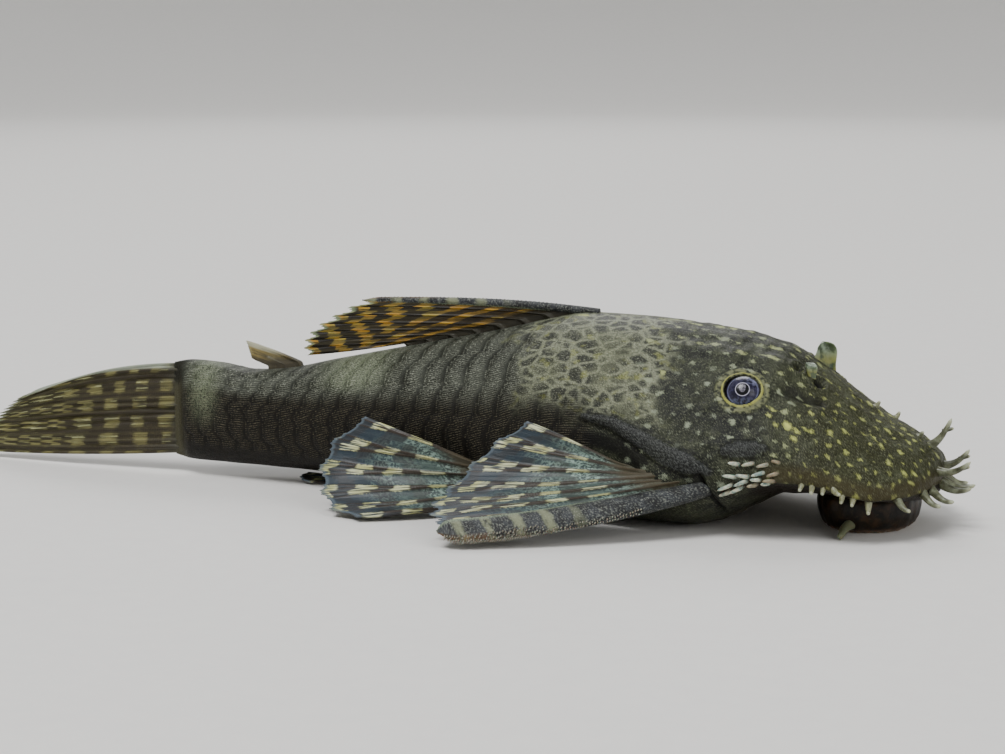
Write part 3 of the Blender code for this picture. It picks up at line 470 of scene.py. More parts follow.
def buildSkin():
    s, angle, q, side = skinGrid()
    ring = len(side)
    grid = np.repeat(s[:, None], ring, 1)
    base = skinPoint(grid, angle, np.repeat(side[None, :], len(s), 0))
    world = placed(base)
    dS = np.gradient(world, axis=0)
    dQ = np.roll(world, -1, 1) - np.roll(world, 1, 1)
    normal = unit(np.cross(dQ, dS))
    if np.mean(normal[:, 0, 2]) < 0:
        normal = -normal

    phase, inRow = platePattern(grid, angle)
    inPlate = phase - np.floor(phase)
    onFlank = smooth(34, 38.5, grid - 0.12 * np.maximum(angle, 0))
    sides = smooth(-44, -30, angle) * onFlank * smooth(97.5, 95, grid)
    offRidge = smooth(0.8, 1.8, np.abs(q))
    tooth = np.minimum(inPlate / 0.86, (1 - inPlate) / 0.14)
    seam = 1 - bell(np.minimum(inRow, 1 - inRow), 0, 0.12)
    lift = skin["plateLift"] * sides * offRidge * (tooth * (0.45 + 0.55 * seam) - 0.35)
    lift += 0.08 * sides * offRidge * (4 * inRow * (1 - inRow) - 0.5)

    onHead = 1 - smooth(28, 36, grid)
    lift += (0.06 * ripple(base, 3.2, 3) + 0.035 * ripple(base, 1.3, 4)) * onHead
    naked = (1 - smooth(0.6, 2.4, base[..., 2] - track(body["widest"], grid))) * (1 - smooth(15, 19, grid))
    lift += 0.14 * naked * smooth(-14, 2, angle)
    orbit, pitShade, cover, hollowShade = (np.zeros_like(grid) for _ in range(4))
    for one in (-1, 1):
        here = (side == one)[None, :] * np.ones_like(grid)
        far = distanceTo(base, body["eyeStation"], body["eyeAngle"], one)
        rim, paleRing = (sum(share * bell(far, at, width) for at, width, share in skin[rings])
                      for rings in ("orbitRings", "orbitTones"))
        lift += skin["orbitLift"] * rim - skin["socketDepth"] * (1 - smooth(1.5, 1.95, far))
        orbit = np.maximum(orbit, paleRing)
        # Painted shade in the groove between the eye and its socket.
        pitShade = np.maximum(pitShade, 0.8 * (1 - smooth(1.95, 2.12, far)))
        for station, at, size, height in skin["bumps"]:
            lift += height * bell(distanceTo(base, station, at, one), 0, size)
        for ahead, size in skin["nostrils"]:
            station = skin["nostrilStation"] + ahead
            y = one * (skin["nostrilSide"] + 0.2)
            gap = np.linalg.norm(base - np.array([station, y, crown(station, y)]), axis=-1)
            lift += -0.75 * np.exp(-(gap / size) ** 4) + 0.22 * bell(gap, size + 0.35, 0.3)
            # Painted shade inside the nostrils.
            pitShade = np.maximum(pitShade, np.exp(-(gap / (size * 0.9)) ** 4))
        for path, height in (("gillCover", skin["coverLift"]), ("shoulder", skin["shoulderLift"])):
            far = alongPath(base, skin[path], one)
            plate = (1 - smooth(0.82, 1.1, far)) * here
            lift += height * plate * (0.75 + 0.25 * (1 - smooth(0, 0.8, far)))
            cover = np.maximum(cover, plate)
            # Painted shade in the crease round the edges of the gill cover and the shoulder plate.
            hollowShade = np.maximum(hollowShade, 0.85 * bell(far, 1.2, 0.16) * here)
        # The hollow before the eye: a dip in the skin, with painted shade in it.
        far = alongPath(base, skin["hollowShade"], one)
        ragged = far + 0.25 * ripple(base, 1.6, 41)
        hollowShade = np.maximum(hollowShade, 0.72 * (1 - smooth(0.1, 1.7, ragged)) * here)
        lift -= 0.3 * (1 - smooth(0.2, 1.1, far)) * here
        # Painted shade in the armpit under the pectoral fin's root.
        far = alongPath(base, skin["armpit"], one)
        hollowShade = np.maximum(hollowShade, 0.9 * (1 - smooth(0.5, 1.3, far)) * (1 - cover) * here)
        station, at, size, height = skin["finKnob"]
        lift += height * bell(distanceTo(base, station, at, one), 0, size) * (1 - cover)
    behind = grid - gillLine(angle)
    # The gill slit: a groove in the skin, painted dark as shade in the groove.
    slit = bell(behind, 0.1, 0.28) * smooth(-50, -30, angle) * (1 - smooth(4, 14, angle)) * (1 - cover)
    lift -= 0.5 * slit
    lift += 0.16 * smooth(-40, -20, angle) * bell(behind, -0.55, 0.5) * (1 - smooth(5, 30, angle))
    lift *= np.where(angle < -40, smooth(0.02, 0.5, base[..., 2]), 1)
    world = world + normal * lift[..., None] * mm
    world[..., 2] = np.maximum(world[..., 2], 0.00002)

    verts = np.vstack([world.reshape(-1, 3), placed([0.0, 0.0, 6.0]), world[-1].mean(0)])
    faces = [face[::-1] for face in closedFaces(len(s), ring)]

    field = np.full(grid.shape, -1.0)
    tone = np.zeros_like(grid)
    fade = np.ones_like(grid)
    wobble = 0.12 * np.stack([ripple(base, 1.1, seed) for seed in (21, 22, 23)], -1)
    tilt = math.radians(skin["grainTilt"])
    for one, centre, along, across, hue, weak in scatterSpots():
        inBox = np.abs(s - centre[0]) < 2.6
        lo, hi = np.argmax(inBox), len(s) - np.argmax(inBox[::-1])
        local = base[lo:hi] + wobble[lo:hi] - centre
        down = np.linalg.norm(local[..., 1:], axis=-1) * np.sign(
            (local[..., 1] * one) - local[..., 2] + 1e-9)
        lean = tilt * (1 - smooth(12, 20, centre[0])) + 0.1
        flatGap = np.hypot((-local[..., 0] * math.cos(lean) + down * math.sin(lean)) / along,
                           (local[..., 0] * math.sin(lean) + down * math.cos(lean)) / across)
        value = np.clip((1 - flatGap) * across / 0.4, -1, 1)
        value = np.where(side[None, :] * one > 0, value, np.where(np.abs(local[..., 1]) < 1, value, -1))
        better = value > field[lo:hi]
        field[lo:hi] = np.where(better, value, field[lo:hi])
        tone[lo:hi] = np.where(better, hue, tone[lo:hi])
        fade[lo:hi] = np.where(better, weak, fade[lo:hi])
    ragged = grid + 2.2 * ripple(base, 7.0, 31) + 0.8 * ripple(base, 2.2, 32)
    nape = smooth(28, 34.5, ragged) * smooth(48, 41, ragged - 0.08 * angle) \
        * smooth(10, 40, angle + 4 * ripple(base, 5.0, 33))
    belly = (1 - smooth(-72, -54, angle)) * smooth(70, 64, grid)
    saddle = sum(share * bell(grid, at, width) * smooth(low, high, angle)
                 for at, width, share, low, high in skin["saddles"])
    # Lower side of the fish; the colour darkens it, partly its own tone, partly painted shade.
    lowShade = smooth(46, 10, angle)
    # Painted shade under the rim of the head, above the lips.
    under = smooth(-3, -9, angle) * smooth(21, 16, grid)
    band = bell(grid, 97.8, 1.0)
    down = np.abs(q)
    flow = np.stack([-grid * math.cos(tilt) + down * math.sin(tilt),
                     grid * math.sin(tilt) + down * math.cos(tilt), 30 + 30 * np.sign(q)], -1)

    def padded(*fields):
        stack = triples(*fields)
        return np.vstack([stack, stack[0], stack[-1]])
    attributes = {
        "place": padded(grid, q, base[..., 2]),
        "flow": padded(*np.moveaxis(flow, -1, 0)),
        "zone": padded(nape, onFlank, belly),
        "spots": padded(field, tone, fade),
        "scute": padded(inPlate, inRow, sides),
        "parts": padded(orbit, np.maximum(pitShade, slit), naked * smooth(-9, 0, angle)),
        "shade": padded(lowShade, saddle, cover),
        "marks": padded(under, hollowShade, band),
    }
    makePiece("skin", [(verts, faces, attributes)], skinMaterial(), ("head", "trunk", "tail"))


def skinMaterial():
    # Bony plates under thin wet skin, set with rows of enamel teeth: satin, with pinpoint glints.
    material, tree = newMaterial("scutedCatfishSkin", {"Roughness": 0.5, "Specular IOR Level": 0.16})
    station = meshValues(tree, "place")[0]
    nape, flank, belly = meshValues(tree, "zone")
    field, tone, fade = meshValues(tree, "spots")
    inPlate, _, plated = meshValues(tree, "scute")
    orbit, pitShade, naked = meshValues(tree, "parts")
    low, saddle, cover = meshValues(tree, "shade")
    under, hollowShade, band = meshValues(tree, "marks")
    mottle = grainOf(tree, "place", 4.5, detail=3.0)
    blotch = grainOf(tree, "place", 1.6)
    fleck = grainOf(tree, "place", 0.6)
    grain = grainOf(tree, "place", 0.2, detail=1.0)
    stria = grainOf(tree, "place", 0.32, (0.2, 1.4, 1))
    # The real teeth are 0.1 mm apart: drawn 0.17 mm apart so that they show.
    streak = grainOf(tree, "flow", 0.17, (0.6, 1.4, 1))
    place = addNode(tree, "Attribute", out="Vector", attribute_name="place")

    # Flank: mottled above, near black below, and a light saddle behind the dorsal fin.
    # The near black below is partly the flank's own dark tone, partly painted shade of the lower flank,
    # turned from the light above.
    upper = paintLayers(tree, "22241c", [("40433a", 1, (mottle, 0.35, 0.68))])
    lower = paintLayers(tree, "0b0906", [("1a160f", 1, (fleck, 0.32, 0.72))])
    side = paintLayers(tree, upper, [(lower, 1, (low, 0, 1)),
                                     ("7e876c", 0.75, (saddle, 0, 1), (streak, 0.3, 0.6))])
    # Nape: a net of pale skin round dark plates about 2 mm across.
    cells = addNode(tree, "Mapping", {"Vector": place, "Scale": (0.9, 1.15, 1)})
    cells = addNode(tree, "TexVoronoi", {"Vector": cells, "Scale": 1 / 2.0, "Randomness": 1.0},
                    feature="DISTANCE_TO_EDGE")
    cells = roughened(tree, roughened(tree, cells, fleck, 0.3), streak, 0.25)
    net = paintLayers(tree, "33352c", [("8b8f76", 1, (cells, 0.17, 0.02)),
                                       ("7c8065", 0.5, (mottle, 0.48, 0.66)),
                                       ("989c50", 0.5, (blotch, 0.56, 0.7))])
    # Combs of fine teeth along each plate, drawn 0.28 mm apart so that they show.
    wave = addNode(tree, "TexWave", {"Vector": place, "Scale": 1.12, "Distortion": 3.2, "Detail": 1.0,
                                     "Detail Scale": 0.9}, out="Fac", bands_direction="Y")
    combs = rampProduct(tree, 1.0, [(wave, 0.4, 0.95), (inPlate, 0.1, 0.4), (inPlate, 0.98, 0.75),
                                    (plated, 0, 1)])
    boneTone = paintLayers(tree, "1a1b1a", [("4b4d4c", 1, (streak, 0.4, 0.64)),
                                            ("0f1010", 0.5, (stria, 0.5, 0.38))])
    # Light spots, their edges broken by the teeth.
    edge = roughened(tree, roughened(tree, field, streak, 1.5), fleck, 0.8)
    spotTone = paintLayers(tree, "8b937f", [("a3a85e", 1, (tone, 0, 1))])
    bellyTone = paintLayers(tree, "4f4a3a", [("6d6855", 1, (mottle, 0.4, 0.6))])
    ground = paintLayers(tree, "181a15", [
        ("313427", 1, (mottle, 0.38, 0.64)),
        ("3b3c22", 0.6, (station, 21.0, 9.0)),
        ("505440", 0.4, (blotch, 0.5, 0.66)),
        (side, 1, (flank, 0, 1)),
        ("85887a", 0.34, (combs, 0, 1), (low, 1.0, 0.2)),
        ("6a6551", 0.6, (combs, 0, 1), (low, 0.2, 1.0), (streak, 0.4, 0.62)),
        # Pale specks on the plates, strongest on the upper flank: pale enamel of the teeth, with painted
        # glints.
        ("a2a595", 0.5, (grain, 0.55, 0.7), (plated, 0, 1), (low, 0.9, 0.2), (inPlate, 0.1, 0.5)),
        # Dark bands at the seams between plates: painted shade in the gaps.
        ("0e0c09", 0.42, (inPlate, 0.72, 0.98), (plated, 0, 1)),
        ("0e0c09", 0.4, (inPlate, 0.26, 0.02), (plated, 0, 1)),
        ("8f927a", 0.36, (streak, 0.54, 0.7), (flank, 1, 0)),
        ("0a0b08", 0.62, (streak, 0.48, 0.36), (flank, 1, 0)),
        (net, 0.74, (nape, 0, 1)),
        ("0a0b08", 0.5, (streak, 0.48, 0.36), (nape, 0, 1)),
        ("b0b39c", 0.4, (streak, 0.54, 0.7), (nape, 0, 1)),
        ("0a0b08", 0.45, (grain, 0.45, 0.3)),
        (boneTone, 0.8, (cover, 0.1, 0.9)),
        # Painted shade in the hollow before the eye, the creases round the gill cover and shoulder, and the
        # armpit.
        ("0a0908", 0.85, (hollowShade, 0, 1)),
        (spotTone, 0.88, (edge, -0.2, 0.55), (fade, 0, 0.8), (cover, 0.9, 0.1)),
        ("c4c866", 0.7, (edge, 0.45, 0.95), (tone, 0.5, 0.9), (fade, 0.4, 0.9), (cover, 0.9, 0.1)),
        ("3b321c", 0.5, (naked, 0, 1)),
        # Painted shade under the rim of the head.
        ("150e09", 0.92, (under, 0, 1)),
        ("8a8d66", 0.66, (orbit, 0.2, 0.7), (fleck, 0.38, 0.58)),
        ("a6a654", 0.75, (orbit, 0.72, 0.95)),
        (bellyTone, 1, (belly, 0, 1)),
        # Pale olive on the lower half of the skin's end: partly the tone of the tail fin's root, partly
        # painted light over the shade where the skin curls in.
        ("5c5a44", 0.5, (station, 95.4, 98.4), (low, 0.1, 0.8)),
        ("1c1a13", 0.7, (band, 0.2, 1), (low, 0.9, 0.3)),
        # Painted shade in the nostrils, the gill slit and the groove round the eye.
        ("080706", 1, (pitShade, 0, 1))])
    height = addNode(tree, "Math", {0: combs, 1: 0.9, 2: streak}, operation="MULTIPLY_ADD")
    height = addNode(tree, "Math", {0: fleck, 1: 0.5, 2: height}, operation="MULTIPLY_ADD")
    rough = addNode(tree, "MapRange", {0: grain, 1: 0.3, 2: 0.7, 3: 0.34, 4: 0.62})
    tree.links.new(rough, tree.nodes["Principled BSDF"].inputs["Roughness"])
    finishMaterial(tree, ground, height, 0.11, 0.6)
    return material


print("skin")
buildSkin()


# Eyes: a wet dome, violet iris and the lobe that hangs over the pupil. Gaze is ahead, out and up; the
# lobe is its half width, half height and rise.
eye = {"rings": 64, "sides": 96, "rimHeight": 1.45, "sideways": 1.09, "gaze": (0.32, 0.93, 0.12),
       "lobe": (0.38, 0.6, 0.2), "clearance": 0.995}


def buildEye(node, side, material):
    centre = placed(skinPoint(body["eyeStation"], body["eyeAngle"], side, -body["eyeSink"]))
    outward = unit(placed(skinPoint(body["eyeStation"], body["eyeAngle"], side, 1.0)) - centre)
    x, y, z = eye["gaze"]
    axis = unit(outward * eye["rimHeight"] + np.array([x, y * side, z]) * eye["sideways"])
    across = unit(np.cross([0, 0, 1], axis))
    up = np.cross(axis, across)
    rings, sides = eye["rings"], eye["sides"]
    tilt = np.linspace(0.02, math.pi - 0.02, rings)[:, None]
    turn = (np.arange(sides) * 2 * math.pi / sides)[None, :]
    radius = body["eyeRadius"] * mm * eye["clearance"]
    flat = triples(np.sin(tilt) * np.cos(turn), np.sin(tilt) * np.sin(turn), np.cos(tilt))
    flat = np.vstack([flat, [0, 0, 1], [0, 0, -1]])
    verts = centre + radius * (flat @ np.stack([across, up, axis]))
    marks = flat * np.array([body["eyeRadius"], body["eyeRadius"], 1])
    makePiece(node + "_ball", [(verts, closedFaces(rings, sides), {"iris": marks})], material, (node,))


def eyeMaterial():
    # Wet cornea: smooth and glossy, the iris seen through it with its own dull lustre.
    material, tree = newMaterial("wetCorneaIris", {"Roughness": 0.3, "Specular IOR Level": 0.3, "IOR": 1.376,
                                                   "Coat Weight": 0.3, "Coat Roughness": 0.03})
    x, y, _ = meshValues(tree, "iris")
    iris = addNode(tree, "Attribute", out="Vector", attribute_name="iris")
    flat = addNode(tree, "Mapping", {"Vector": iris, "Scale": (1, 1, 0)})
    r = addNode(tree, "VectorMath", {0: flat}, out="Value", operation="LENGTH")
    width, drop, rise = eye["lobe"]
    flat = addNode(tree, "Mapping", {"Vector": iris, "Location": (0, -rise / drop, 0),
                                     "Scale": (1 / width, 1 / drop, 0)})
    lobe = addNode(tree, "VectorMath", {0: flat}, out="Value", operation="LENGTH")
    cloud = grainOf(tree, "iris", 0.35, detail=3.0)
    fine = grainOf(tree, "iris", 0.16)
    lobeTone = paintLayers(tree, "34323b", [("77747e", 1, (fine, 0.35, 0.65))])
    colour = paintLayers(tree, "121124", [
        ("33314a", 1, (cloud, 0.38, 0.7)),
        # Pale patch on the upper iris: painted reflection.
        ("7b7f9c", 0.75, (y, 0.35, 1.2), (x, 0.2, 0.9), (cloud, 0.4, 0.6)),
        ("4f5a74", 0.6, (y, -0.8, -1.4), (cloud, 0.4, 0.6)),
        ("6c7090", 0.7, (r, 1.62, 1.70), (r, 1.82, 1.74)),
        ("0b0a0e", 1, (r, 1.84, 1.92)),
        ("05050a", 1, (r, 0.80, 0.74)),
        ("c3c1d2", 0.8, (r, 0.73, 0.78), (r, 0.86, 0.81)),
        (lobeTone, 1, (lobe, 1.08, 0.92), (r, 0.76, 0.68))])
    finishMaterial(tree, colour, fine, 0.005, 0.1)
    return material


print("eyes")
wetEye = eyeMaterial()
for node, side in (("eye_right", -1), ("eye_left", 1)):
    buildEye(node, side, wetEye)


# Usual values of a fin's sheet, thicknesses in millimetres; a fin's own dictionary says what differs.
finShape = {
    "span": None, "web": 0.1, "taper": 0.72, "webInRay": 0.4, "fringe": 0.022, "edge": 0.25,
    "lead": 0, "leadReach": 0.22, "pleat": 0, "crimp": 0.05, "split": (0.34, 0.66),
    "dashSteps": 240, "dashStart": -0.2, "together": 1, "dim": 1.0, "soft": 0.9,
}


# Rays are quadratic curves from base to tip, each split twice towards its end.
def raySet(bases, tips, bows):
    rays = []
    for base, tip, bow in zip(bases, tips, bows):
        base, tip, bow = np.array(base, float), np.array(tip, float), np.array(bow, float)
        rays.append((base, (base + tip) / 2 + bow, tip))
    return np.array(rays)


def onRays(rays, u, v):
    # The sheet between the rays follows a smooth curve across them.
    n = len(rays)
    line = np.concatenate([[2 * rays[0] - rays[1]], rays, [2 * rays[-1] - rays[-2]]])
    k = np.clip(np.floor(u).astype(int), 0, n - 2)
    f = (u - k)[..., None]
    weights = np.stack([(1 - v) ** 2, 2 * v * (1 - v), v ** 2], -1)
    return between(*(np.einsum("...k,...kd->...d", weights, line[k + i]) for i in range(4)), f)


def branching(u, v, spacing, width, split):
    # How strongly a point lies on a ray: one stem that splits in two, and again in four.
    d = u - np.round(u)
    one = 0.2 * smooth(split[0], 1.0, v) ** 0.8
    two = 0.1 * smooth(split[1], 1.0, v)
    slim = width * (1 - 0.45 * smooth(split[0], 0.6, v) - 0.2 * smooth(split[1], 1, v))
    reach = np.maximum(slim / np.maximum(spacing, 0.05), 0.03)
    best = 0
    for a in (-1, 1):
        for b in (-1, 1):
            best = np.maximum(best, bell(d, a * one + b * two, reach))
    return best


def dashRows(lengths, spec):
    # Pale dashes along each ray, with a seeded length and start; they fade in and out softly.
    rng = np.random.default_rng(spec["seed"])
    rows = []
    step = np.linspace(spec["dashStart"], 1, spec["dashSteps"])
    together, soft = spec["together"], spec["soft"]
    for k, length in enumerate(lengths):
        a = step * length
        if k % together == 0:
            jitter = rng.uniform(-0.6, 0.6)
            sizes = [(rng.uniform(*spec["pale"]), rng.uniform(*spec["dark"])) for _ in range(16)]
        value = np.zeros_like(a)
        at = spec["first"] + jitter
        for pale, dark in sizes:
            value = np.maximum(value, smooth(-0.2, soft, a - at) * smooth(-0.2, soft, at + pale - a))
            at += pale + dark
        rows.append(value * (spec["dim"] if k % together == together - 1 else 1.0))
    return np.array(rows)


def finSheet(rays, spec, clear, side=1):
    # Front and back sheets that close round the edge; thickness swells over the rays.
    spec = {**finShape, **spec}
    n = len(rays)
    start, stop = spec["span"] or (0.0, n - 1.0)
    cols = int((stop - start) * spec["perRay"]) + 1
    rows = spec["rows"]
    u = np.linspace(start, stop, cols)[:, None] * np.ones((1, rows))
    v = np.linspace(-spec["sink"], 1, rows)[None, :] * np.ones((cols, 1))
    web = u - np.floor(u)
    scallop = 1 - spec["scallop"] * (4 * web * (1 - web)) * np.maximum(v, 0) ** 4
    nextOne = onRays(rays, np.minimum(u + 0.5, n - 1), v)
    lastOne = onRays(rays, np.maximum(u - 0.5, 0), v)
    spacing = np.linalg.norm(nextOne - lastOne, axis=-1)
    ray = branching(u, v, spacing, spec["rayWidth"], spec["split"])
    fringe = 1 - spec["fringe"] * (1 - ray) * smooth(0.9, 1.0, v)
    point = onRays(rays, u, v * scallop * fringe)
    taper = 1 - spec["taper"] * np.clip(v, 0, 1)
    half = spec["web"] + (spec["ray"] * taper - spec["web"] * spec["webInRay"]) * ray
    half = half + spec["lead"] * bell(u, start, spec["leadReach"]) * (1 - 0.7 * np.clip(v, 0, 1))
    edge = np.minimum(np.minimum(u - start, stop - u) * spacing / spec["edge"], (1 - v) * 30)
    half = half * (0.25 + 0.75 * np.clip(edge, 0, 1))
    normal = unit(np.cross(np.gradient(point, axis=0), np.gradient(point, axis=1)))
    fold = spec["pleat"] * np.sin(math.pi * web) * np.clip(v, 0, 1)
    fold = fold + spec["crimp"] * ripple(np.stack([u * 2, v * 5, v], -1), 2.2, 5)
    sheets = []
    for sign in (1, -1):
        p = clear(point + normal * (half * sign + fold)[..., None], v)
        sheets.append(placed(p * np.array([1, side, 1])).reshape(-1, 3))
    verts = np.vstack(sheets)
    faces = sheetFaces(cols, rows)
    if side < 0:
        faces = [f[::-1] for f in faces]
    lengths = [np.linalg.norm(r[2] - r[0]) for r in rays]
    table = dashRows(lengths, spec)
    k = np.clip(np.round(u).astype(int), 0, n - 1)
    branch = 0.03 * np.sign(u - np.round(u)) * smooth(0.4, 0.7, v)
    last, first = spec["dashSteps"] - 1, spec["dashStart"]
    at = np.clip((v + branch - first) / (1 - first) * last, 0, last).astype(int)
    along = v * np.array(lengths)[k]
    marks = {"ray": triples(ray, table[k, at], v), "place": triples(along, u * 2.2, side * 7.0),
             "web": triples(u * spacing, along, 1 - 2 * np.abs(u - np.round(u)))}
    return verts, faces, {key: np.vstack([value] * 2) for key, value in marks.items()}


def finMaterial(name, tones):
    # Bony rays in thin skin: the rays satin and banded, the web between them dark and wet.
    material, tree = newMaterial(name, {"Roughness": 0.42, "Specular IOR Level": 0.3})
    ray, dash, v = meshValues(tree, "ray")
    fromLead, along, fan = meshValues(tree, "web")
    grain = grainOf(tree, "place", 0.3)
    streak = grainOf(tree, "place", 0.5, (0.3, 2.2, 1))
    cloud = grainOf(tree, "place", 3.0)
    stem = roughened(tree, ray, streak, 0.5)
    # Fine branches of each ray: hair lines that spread further from it towards the margin.
    hair = grainOf(tree, "place", 0.32, (0.1, 3.0, 1), detail=1.0)
    spread = addNode(tree, "Math", {0: v, 1: 0.5, 2: fan}, operation="MULTIPLY_ADD")
    spread = roughened(tree, spread, grain, 0.3)
    ragged = roughened(tree, dash, streak, 0.9)
    bony = paintLayers(tree, tones["rayWarm"], [(tones["ray"], 1, (cloud, 0.58, 0.4))])
    colour = paintLayers(tree, tones["webOuter"], [
        (tones["webInner"], 1, (v, 0.75, 0.25)),
        (tones["webLight"], 0.85, (grain, 0.42, 0.62), (v, 0.85, 0.2), (cloud, 0.35, 0.6)),
        (tones["webOuter"], 0.5, (grain, 0.5, 0.36)),
        (tones["bar"], tones["spill"], (ragged, 0.6, 0.2)),
        (tones["rayWarm"], tones["fill"], (ragged, 0.15, 0.95), (cloud, 0.35, 0.6)),
        (tones["bar"], tones["stem"], (stem, 0.3, 0.8)),
        (tones["bar"], 0.55, (spread, 0.8, 1.0), (v, 0.9, 0.5)),
        (bony, 0.85, (spread, 0.82, 1.0), (ragged, 0.3, 0.75), (hair, 0.4, 0.56)),
        (tones["root"], 0.8, (roughened(tree, along, cloud, 3.0), 4.0, 1.0)),
        (tones["margin"], 0.8, (v, 0.945, 0.985)),
        (tones["edge"], tones["edgeShare"], (fromLead, 0.75, 0.45), (along, 2.0, 5.0))])
    place = addNode(tree, "Attribute", out="Vector", attribute_name="place")
    joints = addNode(tree, "TexWave", {"Vector": place, "Scale": 0.9, "Distortion": 0.4}, out="Fac",
                     bands_direction="X")
    groove = rampProduct(tree, -0.5, [(joints, 0.8, 1.0), (stem, 0.25, 0.75)])
    height = addNode(tree, "Math", {0: streak, 1: 0.7, 2: groove}, operation="MULTIPLY_ADD")
    height = addNode(tree, "Math", {0: grain, 1: 0.5, 2: height}, operation="MULTIPLY_ADD")
    finishMaterial(tree, colour, height, 0.1)
    return material


def clearFlank(p, v):
    # Keeps a paired fin off the flank, except at its root, which sinks into it.
    s, y, z = p[..., 0], p[..., 1], p[..., 2]
    limit = (sideAt(s, z) + body["nodeGap"] + 0.34 * smooth(31, 35, s)) * smooth(0.02, 0.2, v)
    y = np.where(np.abs(y) < limit, limit, np.abs(y))
    return np.stack([s, y, np.maximum(z, 0.05)], -1)


def clearBack(p, v):
    # Keeps a fin on top of the back, except at its root, which sinks into it.
    s, y, z = p[..., 0], p[..., 1], p[..., 2]
    floor = track(body["top"], s) + 0.05
    near = (sideAt(s, z) + 0.2 > np.abs(y)) & (z < floor) & (v > 0.05)
    z = np.where(near, floor, z) - 0.75 * (1 - smooth(-0.01, 0.05, v))
    return np.stack([s, y, z], -1)


pectoral = {
    "tips": [(50.4, 31.9, 1.0), (52.6, 30.4, 2.6), (54.6, 28.2, 3.0), (55.6, 25.0, 3.4), (54.8, 21.6, 4.6),
             (52.4, 19.2, 7.1), (49.3, 17.8, 9.9), (45.3, 17.1, 12.3)],
    "first": (26.6, 16.7, 5.2), "last": (32.4, 16.25, 7.5),
    "sheet": {"span": (0.75, 7.0), "perRay": 18, "rows": 110, "sink": 0.1, "scallop": 0.05, "rayWidth": 0.27,
              "ray": 0.34, "seed": 5, "pale": (3.2, 4.0), "dark": (1.2, 1.6), "first": 5.0,
              "split": (0.2, 0.5), "soft": 1.2, "crimp": 0.1},
    "spine": {"cols": 30, "rows": 210, "wide": 0.6, "half": 1.0, "narrow": 0.5, "bristles": 74, "seed": 11},
}


def pectoralRays():
    tips = pectoral["tips"]
    first, last = np.array(pectoral["first"]), np.array(pectoral["last"])
    bases, bows = [], []
    for k in range(len(tips)):
        f = max(k - 1, 0) / (len(tips) - 2)
        base = first + (last - first) * f ** 0.8
        bow = (0.4, 1.4 + 1.4 * math.sin(math.pi * f), -1.2 + 2.4 * f)
        if k == 0:
            base, bow = base + np.array([-1.0, 0.5, -0.5]), (-0.4, 2.8, -1.4)
        bases.append(base)
        bows.append(bow)
    return raySet(bases, tips, bows)


def curveAt(rays, u):
    # The curve of one place across a fin, as a function of the share of its length.
    return lambda v: onRays(rays, np.full_like(v, float(u)), v)


def buildSpine(node, inner, outer, spec, side, looks):
    # A stout spine between two curves, its skin raised in rows of small grains.
    cols, rows = spec["cols"], spec["rows"]
    turn = np.linspace(0, 2 * math.pi, 2 * cols, endpoint=False)[None, :]
    v = np.linspace(-0.1, 1.0, rows)[:, None]
    near, far = inner(v), outer(v)
    centre = (near + far) / 2
    across = (far - near) / 2
    reach = np.linalg.norm(across, axis=-1)
    across /= reach[..., None]
    ahead = unit(np.gradient(centre, axis=0))
    thick = unit(np.cross(across, ahead))
    steps = np.linalg.norm(np.diff(centre[:, 0], axis=0), axis=-1)
    length = np.concatenate([[0], np.cumsum(steps)])[:, None]
    close = np.sqrt(np.clip(1 - smooth(0.88, 1.0, v) ** 2 * 0.97, 0.02, 1))
    slim = 1 - spec["narrow"] * smooth(0.2, 1.0, v)
    wide = (reach + spec["wide"] * slim) * close
    deep = spec["half"] * slim * close
    girth = turn * 0.5 * (wide + deep)
    knob = np.cos(2 * math.pi * length / 0.5 + 0.5 * np.sin(girth * 5)) \
        * np.cos(2 * math.pi * girth / 0.55 + length * 1.2)
    bump = 0.07 * np.maximum(knob, 0) ** 1.5 * smooth(0.0, 0.15, v)
    p = centre + across * ((wide + bump) * np.cos(turn))[..., None] \
        + thick * ((deep + bump) * np.sin(turn))[..., None]
    p[..., 2] = np.maximum(p[..., 2], 0.03)
    flip = np.array([1, side, 1])
    ring = 2 * cols
    ends = np.stack([p[0].mean(0), p[-1].mean(0)])
    verts = placed(np.vstack([p.reshape(-1, 3), ends]) * flip)
    faces = closedFaces(rows, ring)
    if side > 0:
        faces = [f[::-1] for f in faces]
    marks = triples(length, np.cos(turn), v)
    spots = triples(length, girth, v)
    shape = (verts, faces, {"grow": np.vstack([marks, marks[0], marks[-1]]),
                            "place": np.vstack([spots, spots[0], spots[-1]])})
    makePiece(node + "_spine", [shape], looks["granularFinSpine"])
    if not spec["bristles"]:
        return
    # Hooked teeth fringe the leading edge and grow on the outer half of the spine.
    rng = np.random.default_rng(spec["seed"])
    shapes = []
    for i in range(spec["bristles"]):
        f = 0.16 + 0.83 * i / spec["bristles"]
        row = int((f + 0.1) / 1.1 * (rows - 1))
        for at in (0, ring - 3, 4, ring - 7):
            if at in (4, ring - 7) and f < 0.55:
                continue
            j = (at + int(rng.integers(-1, 2))) % ring
            out = unit(p[row, j] - centre[row, 0])
            size = rng.uniform(0.22, 0.4) * (0.6 + 0.6 * f)
            root = p[row, j] - out * 0.1
            tip = root + out * (size + 0.1) + ahead[row, 0] * size * 0.9
            mid = root + out * (size * 0.7) + ahead[row, 0] * size * 0.25
            path = np.stack([root, mid, tip]) * flip
            path[:, 2] = np.maximum(path[:, 2], 0.08)
            shapes.append(tube(placed(path), [0.1, 0.08, 0.03], 5))
    makePiece(node + "_teeth", shapes, looks["enamelBristle"])


